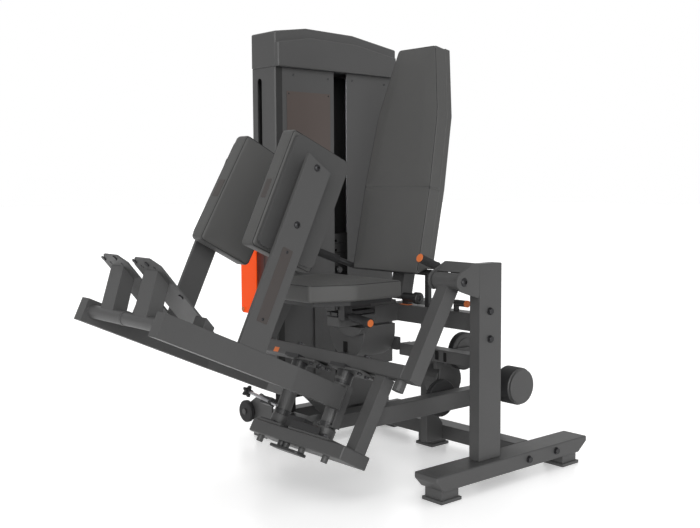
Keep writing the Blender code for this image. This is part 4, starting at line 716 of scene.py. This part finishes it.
def build_arms():
    """Bolts of the right pad bar and its bare plate, and the bolts of the foot plates."""
    bolts = [(0.126, -0.4576, 0.1481), (0.126, -0.4554, -0.0313)]
    piece("right_bar_bolts", spots(SOCKET, bolts, "X", ARMS["right"]), BOLT, "right_leg")
    outline = rounded_outline((-0.475, -0.437), (-0.330, -0.106), 0.004)
    plate = side_slab(outline, 0.1262, 0.1270, 0.0003)
    piece("right_bar_plate", placed(plate, ARMS["right"]), PLATE, "right_leg")
    screws = [(0.1270, -0.456, -0.116), (0.1270, -0.456, -0.320)]
    piece("right_bar_plate_screws", spots(SCREW, screws, "X", ARMS["right"]), BOLT, "right_leg")
    under = Vector((0.0, -0.7771, -0.6293))      # square to the foot plates, out of their fronts
    head = disc(0.0085, -0.0005, 0.0035, 0.001, 16)
    bolts = {"right": [(-0.0805, -0.7770, -0.2852), (-0.0199, -0.7713, -0.2879),
                       (0.0270, -0.6651, -0.3397)],
             "left": [(-0.0298, -0.7743, -0.2865), (0.0471, -0.7793, -0.2840)]}
    for name, places in bolts.items():
        way = ARMS[name].to_3x3().inverted() @ under
        turn = way.to_track_quat("Z", "Y").to_matrix().to_4x4()
        heads = []
        for place in places:
            heads += placed(head, ARMS[name] @ Matrix.Translation(place) @ turn)
        piece(name + "_foot_plate_bolts", heads, BOLT, name + "_leg")


def build_carriage():
    """Bearing plates, housings, nuts, the adjuster with its star knob and the lower clamp of the
    tilting carriage, in the leaning frame of its lower half."""
    hinges = [USER_X + side * HINGE_OUT for side in SIDES.values()]
    upper_z, lower_z = -0.3515, -0.5715          # undersides of the bearings' bars
    plates = []
    for x in ((-0.597, -0.447), (-0.3725, -0.216)):
        plates += block(x, (-0.050, 0.034), (upper_z, -0.3440), 0.001)
    for x in ((-0.622, -0.485), (-0.445, -0.238)):
        plates += block(x, (-0.044, 0.050), (-0.5790, lower_z), 0.001)
    piece("bearing_plates", placed(plates, LEAN), POWDER, "carriage")
    housings = []
    for x in hinges:
        housings += placed(disc(0.0275, -0.385, -0.352, 0.003, 32),
                           LEAN @ Matrix.Translation((x, -0.008, 0)))
        housings += placed(disc(0.031, -0.571, -0.536, 0.003, 32),
                           LEAN @ Matrix.Translation((x, 0.008, 0)))
    piece("bearing_housings", housings, POWDER, "carriage")
    small = block((-0.509, -0.425), (-0.010, 0.030), (-0.571, -0.530), 0.001)
    small += block((-0.625, -0.570), (-0.056, -0.034), (-0.5260, -0.5000), 0.001)
    small += block((-0.439, -0.290), (-0.046, -0.042), (-0.571, -0.548), 0.001)
    piece("housing_box", placed(small, LEAN), SATIN_BLACK, "carriage")
    nuts = spots(HEX, [(USER_X + dx, 0.003, -0.292) for dx in (-0.1765, 0.1765)], "Z", LEAN)
    nuts += spots(HEX, [(x, -0.030, lower_z) for x in (-0.395, -0.275)], "Z", LEAN)
    nuts += spots(SMALL_HEX, [(x, y, upper_z) for x in (-0.480, -0.432, -0.232)
                              for y in (-0.032, 0.0)], "-Z", LEAN)
    piece("carriage_bolts", nuts, BOLT, "carriage")
    knob_place = (-0.716, -0.050, -0.501)
    rod_path = np.linspace((-0.538, -0.050, -0.5190), knob_place, 5)
    rod = carried(rod_path, 0.0055) + carried(rod_path[1:3], 0.0085)
    piece("adjuster_rod", placed(rod, LEAN), STEEL, "carriage")
    t = np.linspace(0, 2 * pi, 40, endpoint=False)
    lobes = 0.0165 * (1 + 0.26 * np.cos(5 * t))
    star = slab(np.column_stack([lobes * np.cos(t), lobes * np.sin(t)]), 0.0, 0.014, 0.002)
    piece("adjuster_knob", placed(star, facing(*knob_place, "-X", LEAN)), RUBBER, "carriage")
    shelf = slab(rounded_outline((-0.500, -0.352), (-0.052, 0.004), 0.018), -0.6485, -0.6385,
                 0.002)
    shelf += placed(disc(0.012, -0.642, -0.622), Matrix.Translation((-0.462, -0.030, 0)))
    piece("lower_clamp", placed(shelf, LEAN), SATIN_BLACK, "carriage")
    mark = block((-0.735, -0.708), (-0.0128, -0.0121), (-0.335, -0.318), 0.0002)
    piece("cross_tube_label", placed(mark, LEAN), ORANGE_CAP, "carriage")


def build_hub():
    """The right leg's bracket round its hinge: an upright plate between two flanges."""
    y, out = (-0.020, 0.010), 0.042
    bracket = block((out, 0.048), y, (-0.531, -0.393), 0.0008)
    for z in ((-0.399, -0.393), (-0.531, -0.525)):
        bracket += block((-0.030, out), y, z, 0.0008)
    piece("right_hub_bracket", placed(bracket, ARMS["right"]), POWDER, "right_leg")


build_upright()
build_seat_frame()
build_drums()
build_tower()
build_grips()
build_arms()
build_carriage()
build_hub()


# Stage, light and camera

SKY = 0.27            # strength of the sky's light on the machine and the floor
SKY_SHINE = 0.55      # and as smooth surfaces mirror it
BRIGHT_FLOOR = 0.90   # the floor's own tone as the camera sees it
DIM_FLOOR = 0.22      # and as it lights the machine
FLOOR_GLOW = 0.36     # added to the camera's floor, so that it is white where nothing shades it


def stage():
    """A white floor under an even white sky. The camera and mirror-like reflections see the floor
    at full white but for the machine's own soft shadow; the machine gets a dimmer floor."""
    mesh = bpy.data.meshes.new("floor")
    mesh.from_pydata([(-40, -40, -0.001), (40, -40, -0.001), (40, 40, -0.001), (-40, 40, -0.001)],
                     [], [(0, 1, 2, 3)])
    floor = bpy.data.objects.new("floor", mesh)
    bpy.context.collection.objects.link(floor)
    made = bpy.data.materials.new("white_floor")
    made.use_nodes = True
    tree = made.node_tree
    lit = tree.nodes["Principled BSDF"]
    lit.inputs["Roughness"].default_value = 0.28
    path = tree.nodes.new("ShaderNodeLightPath")
    seen = tree.nodes.new("ShaderNodeMath")
    seen.operation = "MAXIMUM"
    tree.links.new(path.outputs["Is Camera Ray"], seen.inputs[0])
    tree.links.new(path.outputs["Is Glossy Ray"], seen.inputs[1])
    tone = tree.nodes.new("ShaderNodeMix")
    tone.data_type = "RGBA"
    tone.inputs["A"].default_value = (*[DIM_FLOOR] * 3, 1)
    tone.inputs["B"].default_value = (*[BRIGHT_FLOOR] * 3, 1)
    tree.links.new(seen.outputs[0], tone.inputs["Factor"])
    tree.links.new(tone.outputs["Result"], lit.inputs["Base Color"])
    glow = tree.nodes.new("ShaderNodeMath")
    glow.operation = "MULTIPLY"
    glow.inputs[1].default_value = FLOOR_GLOW
    tree.links.new(seen.outputs[0], glow.inputs[0])
    lit.inputs["Emission Color"].default_value = (1, 1, 1, 1)
    tree.links.new(glow.outputs[0], lit.inputs["Emission Strength"])
    mesh.materials.append(made)

    world = bpy.data.worlds.new("studio")
    bpy.context.scene.world = world
    world.use_nodes = True
    tree = world.node_tree
    sky = tree.nodes["Background"]
    sky.inputs["Color"].default_value = (1, 1, 1, 1)
    path = tree.nodes.new("ShaderNodeLightPath")
    shine = tree.nodes.new("ShaderNodeMapRange")
    shine.inputs["To Min"].default_value = SKY
    shine.inputs["To Max"].default_value = SKY_SHINE
    tree.links.new(path.outputs["Is Glossy Ray"], shine.inputs["Value"])
    level = tree.nodes.new("ShaderNodeMapRange")
    level.inputs["To Max"].default_value = 1.0
    tree.links.new(path.outputs["Is Camera Ray"], level.inputs["Value"])
    tree.links.new(shine.outputs["Result"], level.inputs["To Min"])
    tree.links.new(level.outputs["Result"], sky.inputs["Strength"])
    return floor


def sun(name, place, spread, strength, onto=None):
    """A wide, even light from a direction, on everything or on one object alone."""
    data = bpy.data.lights.new(name, "SUN")
    data.angle = radians(spread)
    data.energy = strength
    made = bpy.data.objects.new(name, data)
    made.location = place
    made.rotation_euler = (-Vector(place)).to_track_quat("-Z", "Y").to_euler()
    bpy.context.collection.objects.link(made)
    if onto:
        lit = bpy.data.collections.new(name + "_receivers")
        lit.objects.link(onto)
        made.light_linking.receiver_collection = lit


def studio(floor):
    """Two low suns in front of the machine, one above for the floor's soft shadow alone, and the
    camera that matches the photograph's view."""
    sun("key", (3.0, -2.5, 0.9), 50, 1.95)
    sun("fill", (-2.0, 1.0, 1.0), 60, 0.3)
    sun("floor_top", (0.2, 0.3, 4.0), 90, 1.6, onto=floor)
    data = bpy.data.cameras.new("view")
    data.lens = 50.0
    data.sensor_width = 36.0
    data.shift_x = -0.0929
    camera = bpy.data.objects.new("view", data)
    camera.location = (2.5888, -1.9554, 0.9551)
    camera.rotation_euler = (radians(85.4), 0.0, radians(46.9))
    bpy.context.collection.objects.link(camera)
    bpy.context.scene.camera = camera
    bpy.context.scene.view_settings.view_transform = "Standard"


studio(stage())
